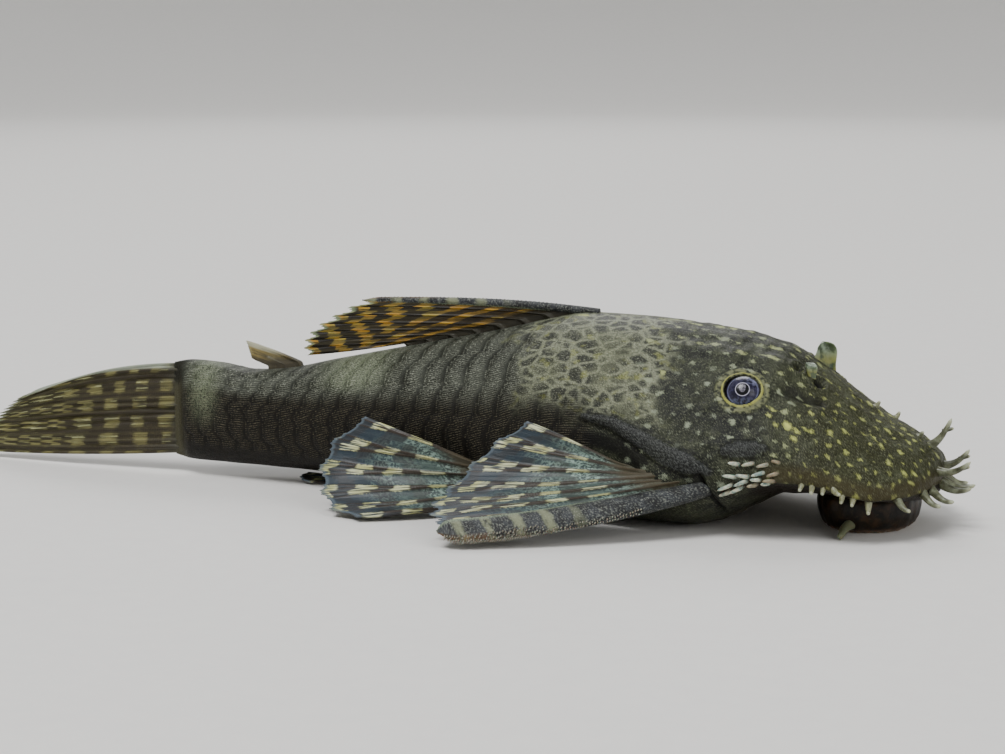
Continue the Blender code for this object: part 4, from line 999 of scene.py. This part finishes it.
def spineMaterial():
    # Bone under granular skin: charcoal with pale saddles, dull with small glints.
    material, tree = newMaterial("granularFinSpine", {"Roughness": 0.5, "Specular IOR Level": 0.3})
    length, edge, v = meshValues(tree, "grow")
    grain = grainOf(tree, "place", 0.2)
    cloud = grainOf(tree, "place", 1.4)
    # Pale saddles about every 3.6 mm.
    phase = addNode(tree, "Math", {0: length, 1: 2 * math.pi / 3.6}, operation="MULTIPLY")
    wave = addNode(tree, "Math", {0: roughened(tree, phase, cloud, 3.0)}, operation="SINE")
    under = paintLayers(tree, "5f6d5a", [("8f9c80", 1, (grain, 0.4, 0.6))])
    colour = paintLayers(tree, "191a1b", [
        ("34373a", 1, (cloud, 0.36, 0.66)),
        ("85897f", 0.55, (grain, 0.5, 0.7)),
        ("0e0e0e", 0.65, (grain, 0.46, 0.34)),
        ("8a8f70", 0.7, (wave, 0.1, 1.0), (v, 0.25, 0.55), (cloud, 0.3, 0.5)),
        ("6f4d25", 0.6, (edge, 0.5, 0.95), (v, 0.55, 0.9), (cloud, 0.35, 0.55)),
        (under, 0.8, (edge, -0.45, -0.85), (v, 0.1, 0.25))])
    height = addNode(tree, "Math", {0: cloud, 1: 0.4, 2: grain}, operation="MULTIPLY_ADD")
    finishMaterial(tree, colour, height, 0.1, 0.6)
    return material


def bristleMaterial(name, base, dull, bright):
    # Enamel teeth in skin: pale, half clear, with a wet shine.
    material, tree = newMaterial(name, {"Roughness": 0.3, "Specular IOR Level": 0.45,
                                        "Subsurface Weight": 0.25, "Subsurface Scale": 0.0006})
    along, mark, _ = meshValues(tree, "grow")
    cloud = grainOf(tree, "place", 0.5)
    pale = paintLayers(tree, dull, [(bright, 1, (cloud, 0.36, 0.6)), ("7d6a4a", 0.8, (mark, 0.5, 0.7))])
    colour = paintLayers(tree, base, [(pale, 1, (along, 0.1, 0.6))])
    finishMaterial(tree, colour, cloud, 0.05, 0.3)
    return material


pelvic = {
    "tips": [(66.0, 21.9, 0.7), (70.0, 20.0, 0.9), (72.4, 17.2, 2.3), (73.6, 14.4, 4.7), (72.4, 12.9, 7.8),
             (68.2, 12.4, 10.9)],
    "first": (50.6, 11.3, 1.6), "last": (54.6, 12.6, 6.4),
    "sheet": {"perRay": 22, "rows": 96, "sink": 0.12, "scallop": 0.045, "rayWidth": 0.27,
              "ray": 0.34, "lead": 0.36, "seed": 9, "pale": (3.0, 4.0), "dark": (1.2, 1.6), "first": 4.2,
              "crimp": 0.1, "split": (0.2, 0.5), "soft": 1.2},
}


def pelvicRays():
    tips = pelvic["tips"]
    first, last = np.array(pelvic["first"]), np.array(pelvic["last"])
    share = np.arange(len(tips)) / (len(tips) - 1)
    return raySet([first + (last - first) * f for f in share], tips,
                  [(0.0, 2.6 + 0.4 * f, -0.4 + 1.4 * f) for f in share])


dorsal = {
    "tips": [(72.7, 23.25), (75.1, 22.3), (77.2, 21.1), (78.9, 20.0), (80.1, 18.9), (80.7, 17.9),
             (80.8, 16.9), (80.2, 16.0)],
    "base": (44.6, 66.6),
    "sheet": {"perRay": 18, "rows": 120, "sink": 0.05, "scallop": 0.05, "rayWidth": 0.34,
              "ray": 0.4, "seed": 3, "pale": (1.8, 2.4), "dark": (1.8, 2.3), "first": 3.0, "soft": 0.6,
              "pleat": 0.2, "split": (0.5, 0.8)},
    "spine": {"cols": 14, "rows": 210, "wide": 0.3, "half": 0.46, "narrow": 0.35, "bristles": 0},
}


def dorsalRays():
    bases, bows = [], []
    count = len(dorsal["tips"])
    for k in range(count):
        f = k / (count - 1)
        station = dorsal["base"][0] * (1 - f) + dorsal["base"][1] * f
        bases.append((station, 0.0, track(body["top"], station) + body["nodeGap"]))
        bows.append((-1.0 * (1 - f), 0.0, 0.8 - 1.1 * f ** 2))
    return raySet(bases, [(s, 0.0, z) for s, z in dorsal["tips"]], bows)


caudal = {
    "count": 16,
    "sheet": {"perRay": 12, "rows": 130, "sink": 0.06, "scallop": 0.04, "rayWidth": 0.3, "web": 0.14,
              "ray": 0.3, "lead": 0.2, "seed": 15, "pale": (2.2, 3.7), "dark": (0.9, 1.5), "first": 2.6,
              "crimp": 0.12, "split": (0.3, 0.6), "together": 3, "dim": 0.3, "soft": 1.1},
}


def caudalRays():
    bases, tips, bows = [], [], []
    for k in range(caudal["count"]):
        f = k / (caudal["count"] - 1)
        bases.append((96.05, 0.0, 14.2 - 11.5 * f))
        tips.append((121.2 + 10.2 * f ** 0.7, 0.7 * math.sin(math.pi * f), 8.5 * (1 - f) + 0.62 * f))
        bows.append((0.0, 0.0, 3.0 * (1 - f) - 0.7 * f))
    return raySet(bases, tips, bows)


adipose = {
    "rays": [(80.6, (88.6, 17.6), 0.4), (83.0, (88.2, 16.4), 0.2), (85.4, (87.8, 15.3), 0.0)],
    "sheet": {"perRay": 16, "rows": 50, "sink": 0.12, "scallop": 0.0, "rayWidth": 0.1, "web": 0.12,
              "ray": 0.1, "lead": 0.42, "seed": 2, "pale": (2, 3), "dark": (1, 2), "first": 0.0},
}


def adiposeRays():
    bases = [(s, 0.0, track(body["top"], s) + body["nodeGap"]) for s, _, _ in adipose["rays"]]
    return raySet(bases, [(tip[0], 0.0, tip[1]) for _, tip, _ in adipose["rays"]],
                  [(0, 0, bow) for _, _, bow in adipose["rays"]])


anal = {
    "tips": [(79.0, -3.3, 0.36), (80.2, -2.7, 0.5), (80.8, -1.9, 0.66), (80.8, -1.0, 0.84),
             (80.2, -0.1, 1.0)],
    "sheet": {"perRay": 12, "rows": 50, "sink": 0.05, "scallop": 0.03, "rayWidth": 0.26,
              "ray": 0.26, "seed": 6, "pale": (1.6, 2.6), "dark": (1.0, 1.6), "first": 1.0},
}


def analRays():
    bases = [(70.8 + 1.1 * k, -0.45 * (1 - k / 4), 0.36 + 0.13 * k) for k in range(5)]
    return raySet(bases, anal["tips"], [(0, -0.3, 0)] * 5)


def clearUnder(p, v):
    # Keeps a fin below the belly, except at its root, which sinks into it.
    roof = track(body["bottom"], p[..., 0]) - body["nodeGap"]
    z = np.where(v > 0.04, np.minimum(p[..., 2], roof), p[..., 2] + 0.5 * smooth(0.04, -0.05, v))
    return np.stack([p[..., 0], p[..., 1], np.maximum(z, 0.03)], -1)


def clearFloor(p, _):
    return np.stack([p[..., 0], p[..., 1], np.maximum(p[..., 2], 0.03)], -1)


# Tones of the fins' skins. Spill and fill are how far the dark bars and the pale dashes cross the web.
finTones = {
    "slateFinSkin": {
        "webOuter": "28333b", "webInner": "46554f", "webLight": "8fa89c", "bar": "332920", "ray": "d6d9ae",
        "rayWarm": "c3c487", "root": "4a4230", "margin": "55616a", "edge": "000000", "edgeShare": 0.0,
        "spill": 0.3, "fill": 0.0, "stem": 0.8},
    "amberFinSkin": {
        "webOuter": "5d5528", "webInner": "453614", "webLight": "9a7a26", "bar": "15110c", "ray": "b09a3c",
        "rayWarm": "c4901c", "root": "2d2b20", "margin": "8d9a78", "edge": "8a6a1e", "edgeShare": 0.5,
        "spill": 0.85, "fill": 0.2, "stem": 0.8},
    "oliveFinSkin": {
        "webOuter": "4c4a2a", "webInner": "3b3725", "webLight": "625c3a", "bar": "241c12", "ray": "b4b684",
        "rayWarm": "8f8a55", "root": "45463a", "margin": "7b8168", "edge": "a0a898", "edgeShare": 0.8,
        "spill": 0.55, "fill": 0.5, "stem": 0.35},
    "cloudyFinSkin": {
        "webOuter": "8a7a48", "webInner": "5a5234", "webLight": "94844e", "bar": "57503a", "ray": "a9a78d",
        "rayWarm": "9c9878", "root": "33302a", "margin": "8f8c74", "edge": "aaa890", "edgeShare": 0.9,
        "spill": 0.2, "fill": 0.2, "stem": 0.8},
}

print("fins")
finLooks = {name: finMaterial(name, tones) for name, tones in finTones.items()}
finLooks["granularFinSpine"] = spineMaterial()
finLooks["enamelBristle"] = bristleMaterial("enamelBristle", "2e281c", "6f6f5f", "98998b")
for side, where in ((-1, "right"), (1, "left")):
    node = "pectoral_fin_" + where
    rays = pectoralRays()
    makePiece(node + "_sheet", [finSheet(rays, pectoral["sheet"], clearFlank, side)],
              finLooks["slateFinSkin"], (node,))
    buildSpine(node, curveAt(rays, 1), curveAt(rays, 0), pectoral["spine"], side, finLooks)
    node = "pelvic_fin_" + where
    makePiece(node + "_sheet", [finSheet(pelvicRays(), pelvic["sheet"], clearFlank, side)],
              finLooks["slateFinSkin"], (node,))
for node, rays, spec, clear, look in (("dorsal_fin", dorsalRays(), dorsal, clearBack, "amberFinSkin"),
                                      ("adipose_fin", adiposeRays(), adipose, clearBack, "cloudyFinSkin"),
                                      ("anal_fin", analRays(), anal, clearUnder, "slateFinSkin"),
                                      ("caudal_fin", caudalRays(), caudal, clearFloor, "oliveFinSkin")):
    makePiece(node + "_sheet", [finSheet(rays, spec["sheet"], clear)], finLooks[look], (node,))
lead = curveAt(dorsalRays(), 0)
spread = np.array([0, 0, 0.2])
buildSpine("dorsal_fin", lambda v: lead(v) - spread, lambda v: lead(v) + spread, dorsal["spine"], 1, finLooks)


# Tentacles of the snout, the bristles of the cheek and the flaps of the nostrils.
tentacles = {
    # Along the rim: station, turn from straight ahead in degrees, fall, length.
    "rim": [(0.05, 8, -0.2, 4.1), (0.3, 17, -0.5, 3.6), (0.75, 27, -0.55, 3.3), (2.7, 34, -0.65, 2.6),
            (5.3, 78, -1.4, 1.95), (6.8, 88, -1.4, 1.6), (7.9, 88, -1.4, 1.9), (9.1, 45, -0.45, 2.0),
            (9.9, 90, -1.4, 1.6), (11.1, 88, -1.4, 2.0), (12.2, 95, -1.4, 1.8)],
    # Above it: station, y, rise, length, length of the second tip.
    "crown": [(1.5, 0.4, 1.25, 3.6, 1.0), (0.35, -1.6, 0.25, 4.2, 1.1), (0.35, 1.9, 0.55, 3.4, 1.0),
              (2.9, 0.2, 1.2, 0.8, 0.0), (6.4, 3.0, 1.2, 0.9, 0.0), (8.2, 0.6, 1.2, 0.9, 0.0)],
}


def tentacleShapes(root, direction, length, width, fork, seed):
    root, direction = np.array(root, float), unit(np.array(direction, float))
    rng = np.random.default_rng(seed)
    sway = rng.uniform(-0.1, 0.1) * length
    side = np.array([0.0, 1.0, 0.0])
    t = np.linspace(-0.25, 1, 18)[:, None]
    path = root + direction * length * t + np.array([0, 0, 1.0]) * length * (0.12 * t ** 3 - 0.1 * np.sin(
        math.pi * np.clip(t, 0, 1))) + side * sway * t ** 2
    t = np.clip(t[:, 0], 0, 1)
    radii = width * (1.15 - 0.75 * t ** 0.8) * rounded(t, 0.93)
    shapes = [tube(placed(path), radii, 14, tone=float(root[0] > 4))]
    if fork > 0:
        start = path[13]
        way = unit(np.array([-1.0, 0.1, 0.3]))
        t = np.linspace(-0.35, 1, 10)[:, None]
        twig = start + way * fork * t
        t = np.clip(t[:, 0], 0, 1)
        radii = width * 0.5 * (1 - 0.3 * t) * rounded(t, 0.8)
        shapes.append(tube(placed(twig), radii, 12, tone=float(root[0] > 4)))
    return shapes


def buildTentacles():
    shapes = []
    seed = 0
    for side in (-1, 1):
        for s, turn, fall, length in tentacles["rim"]:
            lean = math.radians(turn)
            lift = -0.15 + 0.65 * min(max((s - 5) / 3, 0), 1)
            root = (s + 0.3, side * track(body["halfWidth"], s) * 0.97, track(body["widest"], s) + lift)
            seed += 1
            shapes += tentacleShapes(root, (-math.cos(lean), side * math.sin(lean), fall), length,
                                     0.3 + 0.06 * length, 0.0, seed)
    for s, y, rise, length, fork in tentacles["crown"]:
        root = (s, y, crown(s + 0.3, y) - 0.3 if s > 1 else 7.0)
        seed += 1
        shapes += tentacleShapes(root, (-1.0, 0.1 * y, rise), length, 0.52 if length > 1 else 0.4, fork, seed)
    makePiece("snout_tentacles", shapes, tentacleMaterial())


def tentacleMaterial():
    # Soft skin filled with fluid: grey-olive, pale and shiny at the tips.
    material, tree = newMaterial("softTentacleSkin", {
        "Roughness": 0.34, "Specular IOR Level": 0.4, "Subsurface Weight": 0.35, "Subsurface Scale": 0.001,
        "Subsurface Radius": (0.8, 0.7, 0.4)})
    along, rear, _ = meshValues(tree, "grow")
    cloud = grainOf(tree, "place", 0.9, detail=3.0)
    speck = grainOf(tree, "place", 0.25, detail=1.0)
    colour = paintLayers(tree, "4c4e38", [
        ("737760", 1, (cloud, 0.38, 0.64)),
        ("8f9070", 0.7, (rear, 0, 1), (along, 0.1, 0.5)),
        ("3a3820", 1, (along, 0.25, 0.02)),
        ("26261a", 0.35, (speck, 0.5, 0.35)),
        ("a2a68e", 1, (along, 0.78, 0.97))])
    finishMaterial(tree, colour, cloud, 0.06, 0.4)
    return material


# Stations and angles on the skin: the first bristle, then the step to the next place and the next row.
bristles = {
    "rows": 4, "places": 4, "thick": 0.31, "length": (1.15, 1.5), "seed": 41,
    "station": (14.8, 1.5, 0.35), "angle": (14, -1.1, -6.6), "astray": (0.2, 1.6, 2.5),
}


def buildBristles():
    rng = np.random.default_rng(bristles["seed"])
    station, high = bristles["station"], bristles["angle"]
    off, tilt, spread = bristles["astray"]
    short, long = bristles["length"]
    shapes = []
    for side in (-1, 1):
        for row in range(bristles["rows"]):
            for place in range(bristles["places"]):
                f = place / (bristles["places"] - 1)
                s = station[0] + place * station[1] + row * station[2] + rng.uniform(-off, off)
                angle = high[0] + place * high[1] + row * high[2] + rng.uniform(-tilt, tilt)
                length = (short + (long - short) * f) * rng.uniform(0.8, 1.15)
                fan = rng.uniform(-spread, spread)
                path = np.stack([skinPoint(s, angle, side, -0.4), skinPoint(s + 0.15, angle - 0.8, side, 0.3),
                                 skinPoint(s + 0.5 * length, angle - 1.4 + fan * 0.5, side, 0.5),
                                 skinPoint(s + 0.98 * length, angle - 2.2 + fan, side, 0.62)])
                path = arcPath(path, 12)
                t = np.linspace(0, 1, 12)
                radii = bristles["thick"] * (1 - 0.45 * t) * rounded(t, 0.86)
                shapes.append(tube(placed(path), radii, 9, tone=rng.random()))
    look = bristleMaterial("cheekBristle", "2a2519", "7d918a", "c2c8b2")
    makePiece("cheek_bristles", shapes, look)


# Flaps of the nostrils: half width and height for the right one and the left one, and how much wider
# the rear of their base is.
flaps = {"turn": 44, "sizes": {-1: (1.1, 1.45), 1: (1.35, 2.95)}, "thick": 0.15, "base": 0.75, "steps": 26}


def buildFlaps():
    shapes = []
    rows = cols = flaps["steps"]
    for side in (-1, 1):
        s0, y0 = skin["nostrilStation"], side * skin["nostrilSide"]
        z0 = float(crown(s0, y0))
        turn = math.radians(flaps["turn"])
        rise = np.linspace(-0.25, 1, rows)[:, None]
        halfWidth, tall = flaps["sizes"][side]
        wide = halfWidth * np.sqrt(np.clip(1 - np.clip((rise - 0.6) / 0.41, 0, 1) ** 2.4, 0.02, 1))
        wide = wide * (0.8 + 0.2 * smooth(0, 0.6, rise))
        a = np.linspace(-1, 1, cols)[None, :]
        sheets = []
        for sign in (-1, 1):
            across = wide * a * (1 + flaps["base"] * smooth(0.75, 0.1, rise) * smooth(0.2, -0.4, a))
            cup = -0.45 * (a ** 2) + 0.16 * np.sin(3 * a + 2 * rise)
            along = cup + sign * flaps["thick"] * (1.15 - 0.5 * np.clip(rise, 0, 1)) * np.sqrt(1.02 - a ** 2)
            height = tall * rise
            sheets.append(placed(triples(
                s0 + along * math.cos(turn) - across * math.sin(turn) + height * 0.12,
                y0 + side * (along * math.sin(turn) + across * math.cos(turn)), z0 + height)))
        verts = np.vstack(sheets)
        faces = sheetFaces(rows, cols)
        if side > 0:
            faces = [f[::-1] for f in faces]
        shapes.append((verts, faces, {"grow": np.vstack([triples(rise, a, side)] * 2), "place": verts / mm}))
    # Thin skin, part clear: light glows through the rim.
    material, tree = newMaterial("thinNostrilSkin", {
        "Roughness": 0.36, "Specular IOR Level": 0.4, "Subsurface Weight": 0.3, "Subsurface Scale": 0.0006,
        "Subsurface Radius": (0.7, 0.8, 0.5)})
    along = meshValues(tree, "grow")[0]
    cloud = grainOf(tree, "place", 0.8, detail=3.0)
    colour = paintLayers(tree, "4c5744", [("8a9a84", 1, (cloud, 0.4, 0.62)),
                                          ("85833c", 0.8, (along, 0.75, 0.2), (cloud, 0.35, 0.55))])
    finishMaterial(tree, colour, cloud, 0.08, 0.4)
    makePiece("nostril_flaps", shapes, material)


print("tentacles and bristles")
buildTentacles()
buildBristles()
buildFlaps()


# Sucker mouth: a fleshy disc of lips, papillae below, two bars of teeth and a barbel at each corner.
mouth = {
    "station": 8.4, "halfLength": 5.9, "halfWidth": 7.4, "sides": 144,
    "profile": [(0.0, 2.4), (0.16, 2.3), (0.3, 1.3), (0.42, 0.75), (0.52, 0.4), (0.62, 0.12), (0.74, 0.05),
                (0.82, 0.14), (0.89, 0.5), (0.94, 1.05), (0.975, 1.7), (0.995, 2.4), (1.0, 3.0),
                (0.98, 3.7), (0.92, 4.4)],
    "barbel": 4.6, "barbelRoot": (0.2, -1.2, 1.25), "papillae": (62, 26), "papillaHeight": 0.12,
    # Teeth in two bars: how many, their spacing and the station of each bar from the middle.
    "teeth": 26, "toothGap": 0.19, "bars": [(-1.0, 1), (1.0, -1)],
}


def buildMouth():
    profile = arcPath(mouth["profile"], 76)
    turn = np.arange(mouth["sides"]) * 2 * math.pi / mouth["sides"]
    size, height = profile[:, :1], profile[:, 1:]
    step = np.stack([size * np.cos(turn) * 3, size * np.sin(turn) * 3, height + 0 * turn], -1)
    wave = 1 + smooth(0.5, 0.95, size) * (0.012 * np.sin(5 * turn + 1) + 0.008 * np.sin(11 * turn) + 0.006
                                         * np.sin(23 * turn + 2))
    s = mouth["station"] + mouth["halfLength"] * size * np.cos(turn) * wave
    y = mouth["halfWidth"] * size * np.sin(turn) * wave
    below = smooth(1.2, 0.5, height) * smooth(0.2, 0.35, size)
    ringCount, spokeCount = mouth["papillae"]
    knob = np.maximum(np.sin(size * ringCount) * np.sin(turn * spokeCount + size * 30), 0)
    z = height - mouth["papillaHeight"] * knob * below * smooth(0.97, 0.9, size)
    z = np.maximum(z + 0.05 * ripple(step, 1.1, 12), 0.03)
    place = triples(s, y, z)
    verts = placed(place)
    rows, ring = len(profile), mouth["sides"]
    faces = gridFaces(rows, ring, wrap=True)
    last = (rows - 1) * ring
    verts = np.vstack([verts, verts[last:].mean(0)])
    faces += [(rows * ring, last + i, last + (i + 1) % ring) for i in range(ring)]
    grow = triples(height, size, knob)
    shapes = [(verts, faces, {"grow": np.vstack([grow, grow[-1]]), "place": np.vstack([place, place[-1]])})]
    for side in (-1, 1):
        k = np.linspace(-0.4, 3, 16)[:, None]
        root = np.array([mouth["station"], mouth["halfWidth"], 0]) + mouth["barbelRoot"]
        path = root + k * np.array([0.25, mouth["barbel"] / 3, -0.3])
        path[:, 0] += 0.25 * np.sin(k[:, 0] * 1.6)
        path = path * np.array([1, side, 1])
        t = np.clip(k[:, 0] / 3, 0, 1)
        radii = (0.72 - 0.4 * t ** 0.8) * rounded(t, 0.9)
        barbel = tube(placed(path), radii, 14, tone=1.2)
        barbel[2]["grow"][:, 0] += 1.0
        shapes.append(barbel)
    # Thick wet lip: soft shine, brown above and flesh below; the near-black brown above is partly the lip's
    # own tone, partly painted shade under the snout.
    material, tree = newMaterial("softLipSkin", {"Roughness": 0.5, "Specular IOR Level": 0.25,
                                                 "Subsurface Weight": 0.15, "Subsurface Scale": 0.001})
    height, size, knob = meshValues(tree, "grow")
    cloud = grainOf(tree, "place", 1.4, detail=3.0)
    speck = grainOf(tree, "place", 0.4)
    inner = paintLayers(tree, "7a6350", [("b59a7f", 1, (knob, 0.1, 0.6)),
                                         ("4a2c26", 0.9, (size, 0.32, 0.18))])
    colour = paintLayers(tree, "0e0b07", [
        ("24190d", 1, (cloud, 0.38, 0.62)),
        ("3a2715", 0.6, (cloud, 0.56, 0.68)),
        ("43361f", 0.3, (speck, 0.55, 0.7)),
        ("33271a", 0.8, (height, 0.6, 0.2)),
        (inner, 1, (size, 0.92, 0.8), (height, 1.5, 1.1)),
        ("6d7056", 1, (size, 1.1, 1.15))])
    finishMaterial(tree, colour, speck, 0.08)
    makePiece("lips", shapes, material, ("mouth_disc",))
    teeth = []
    for bar, way in mouth["bars"]:
        for i in range(mouth["teeth"]):
            off = i - (mouth["teeth"] - 1) / 2
            root = np.array([mouth["station"] + bar - 0.0036 * off ** 2 * way, off * mouth["toothGap"], 1.7])
            path = root + np.array([[0, 0, 0], [0.1 * way, 0, -0.6], [0.5 * way, 0, -0.95]])
            teeth.append(tube(placed(arcPath(path, 7)), [0.075, 0.075, 0.075, 0.07, 0.07, 0.085, 0.04], 6))
    # Hard glossy enamel, amber at the hooked tips.
    material, tree = newMaterial("amberToothEnamel", {"Roughness": 0.25, "Specular IOR Level": 0.5})
    along = meshValues(tree, "grow")[0]
    fine = grainOf(tree, "place", 0.3, detail=1.0)
    colour = paintLayers(tree, "cbb98f", [("b9a577", 1, (fine, 0, 1)), ("8a4e1f", 1, (along, 0.5, 0.9))])
    finishMaterial(tree, colour, fine, 0.02, 0.2)
    makePiece("teeth", teeth, material)


print("mouth")
buildMouth()


# Camera at the photograph's angle, its place in millimetres, and a plain studio in metres.
studio = {
    "lens": 78.9, "sensor": 36.0, "turn": 19.5, "elevation": 8.87, "distance": 247.2,
    "across": -50.3, "height": 56.2, "paper": "e4e2de", "flat": 1.3, "bend": 0.7, "wall": 0.9,
    "sky": "dfe4ea", "skyPower": 0.42,
    "lamps": [("key", (-0.25, -0.55, 1.25), (0.0, 0, 0.0), 0.6, 17.0),
              ("side", (0.95, -0.45, 0.55), (0.03, 0, 0.01), 0.7, 4.0),
              ("back", (-0.3, 1.0, 0.9), (0, 0, 0.01), 0.7, 7.0)],
}


def buildStudio():
    turn, dip = math.radians(studio["turn"]), math.radians(studio["elevation"])
    x, y = studio["across"], -studio["distance"]
    place = Vector((x * math.cos(turn) - y * math.sin(turn), x * math.sin(turn) + y * math.cos(turn),
                    studio["height"])) * mm + Vector(shift)
    ahead = Vector((-math.sin(turn) * math.cos(dip), math.cos(turn) * math.cos(dip), -math.sin(dip)))
    lens = bpy.data.cameras.new("camera")
    lens.lens, lens.sensor_width = studio["lens"], studio["sensor"]
    lens.clip_start, lens.clip_end = 0.01, 10.0
    camera = bpy.data.objects.new("camera", lens)
    camera.location = place
    camera.rotation_euler = ahead.to_track_quat("-Z", "Y").to_euler()
    bpy.context.scene.collection.objects.link(camera)
    bpy.context.scene.camera = camera

    # A paper bowl: flat under the fish, curving up to a low wall all round.
    bend = np.linspace(0, math.pi / 2, 14)
    flat, curve = studio["flat"], studio["bend"]
    profile = [(r, 0.0) for r in np.linspace(0.05, flat, 12)]
    profile += [(flat + curve * math.sin(a), curve * (1 - math.cos(a))) for a in bend[1:]]
    profile.append((flat + curve, curve + studio["wall"]))
    sides = 72
    turns = np.arange(sides) * 2 * math.pi / sides
    verts = [(r * math.cos(a), r * math.sin(a), z - 0.00002) for r, z in profile for a in turns]
    faces = [face[::-1] for face in gridFaces(len(profile), sides, wrap=True)] + [list(range(sides))]
    # Matt backdrop paper, nearly even, so that the fish alone draws the eye.
    material, tree = newMaterial("mattPaperFloor", {"Roughness": 0.9, "Specular IOR Level": 0.2})
    spot = addNode(tree, "TexCoord", out="Object")
    fibre = addNode(tree, "TexNoise", {"Vector": spot, "Scale": 400.0})
    finishMaterial(tree, paintLayers(tree, studio["paper"], [("e0dedb", 1, (fibre, 0, 1))]), fibre, 0.02, 0.1)
    mesh = bpy.data.meshes.new("floor")
    mesh.from_pydata(verts, [], faces)
    mesh.materials.append(material)
    mesh.shade_smooth()
    floor = bpy.data.objects.new("floor", mesh)
    bpy.context.scene.collection.objects.link(floor)

    world = bpy.data.worlds.new("studioLight")
    world.use_nodes = True
    sky = world.node_tree.nodes["Background"].inputs
    sky["Color"].default_value = hexColour(studio["sky"])
    sky["Strength"].default_value = studio["skyPower"]
    bpy.context.scene.world = world
    for name, spot, aim, size, power in studio["lamps"]:
        light = bpy.data.lights.new(name, "AREA")
        light.size, light.energy = size, power
        lamp = bpy.data.objects.new(name, light)
        lamp.location = spot
        lamp.rotation_euler = (Vector(aim) - Vector(spot)).to_track_quat("-Z", "Y").to_euler()
        bpy.context.scene.collection.objects.link(lamp)


print("studio")
buildStudio()
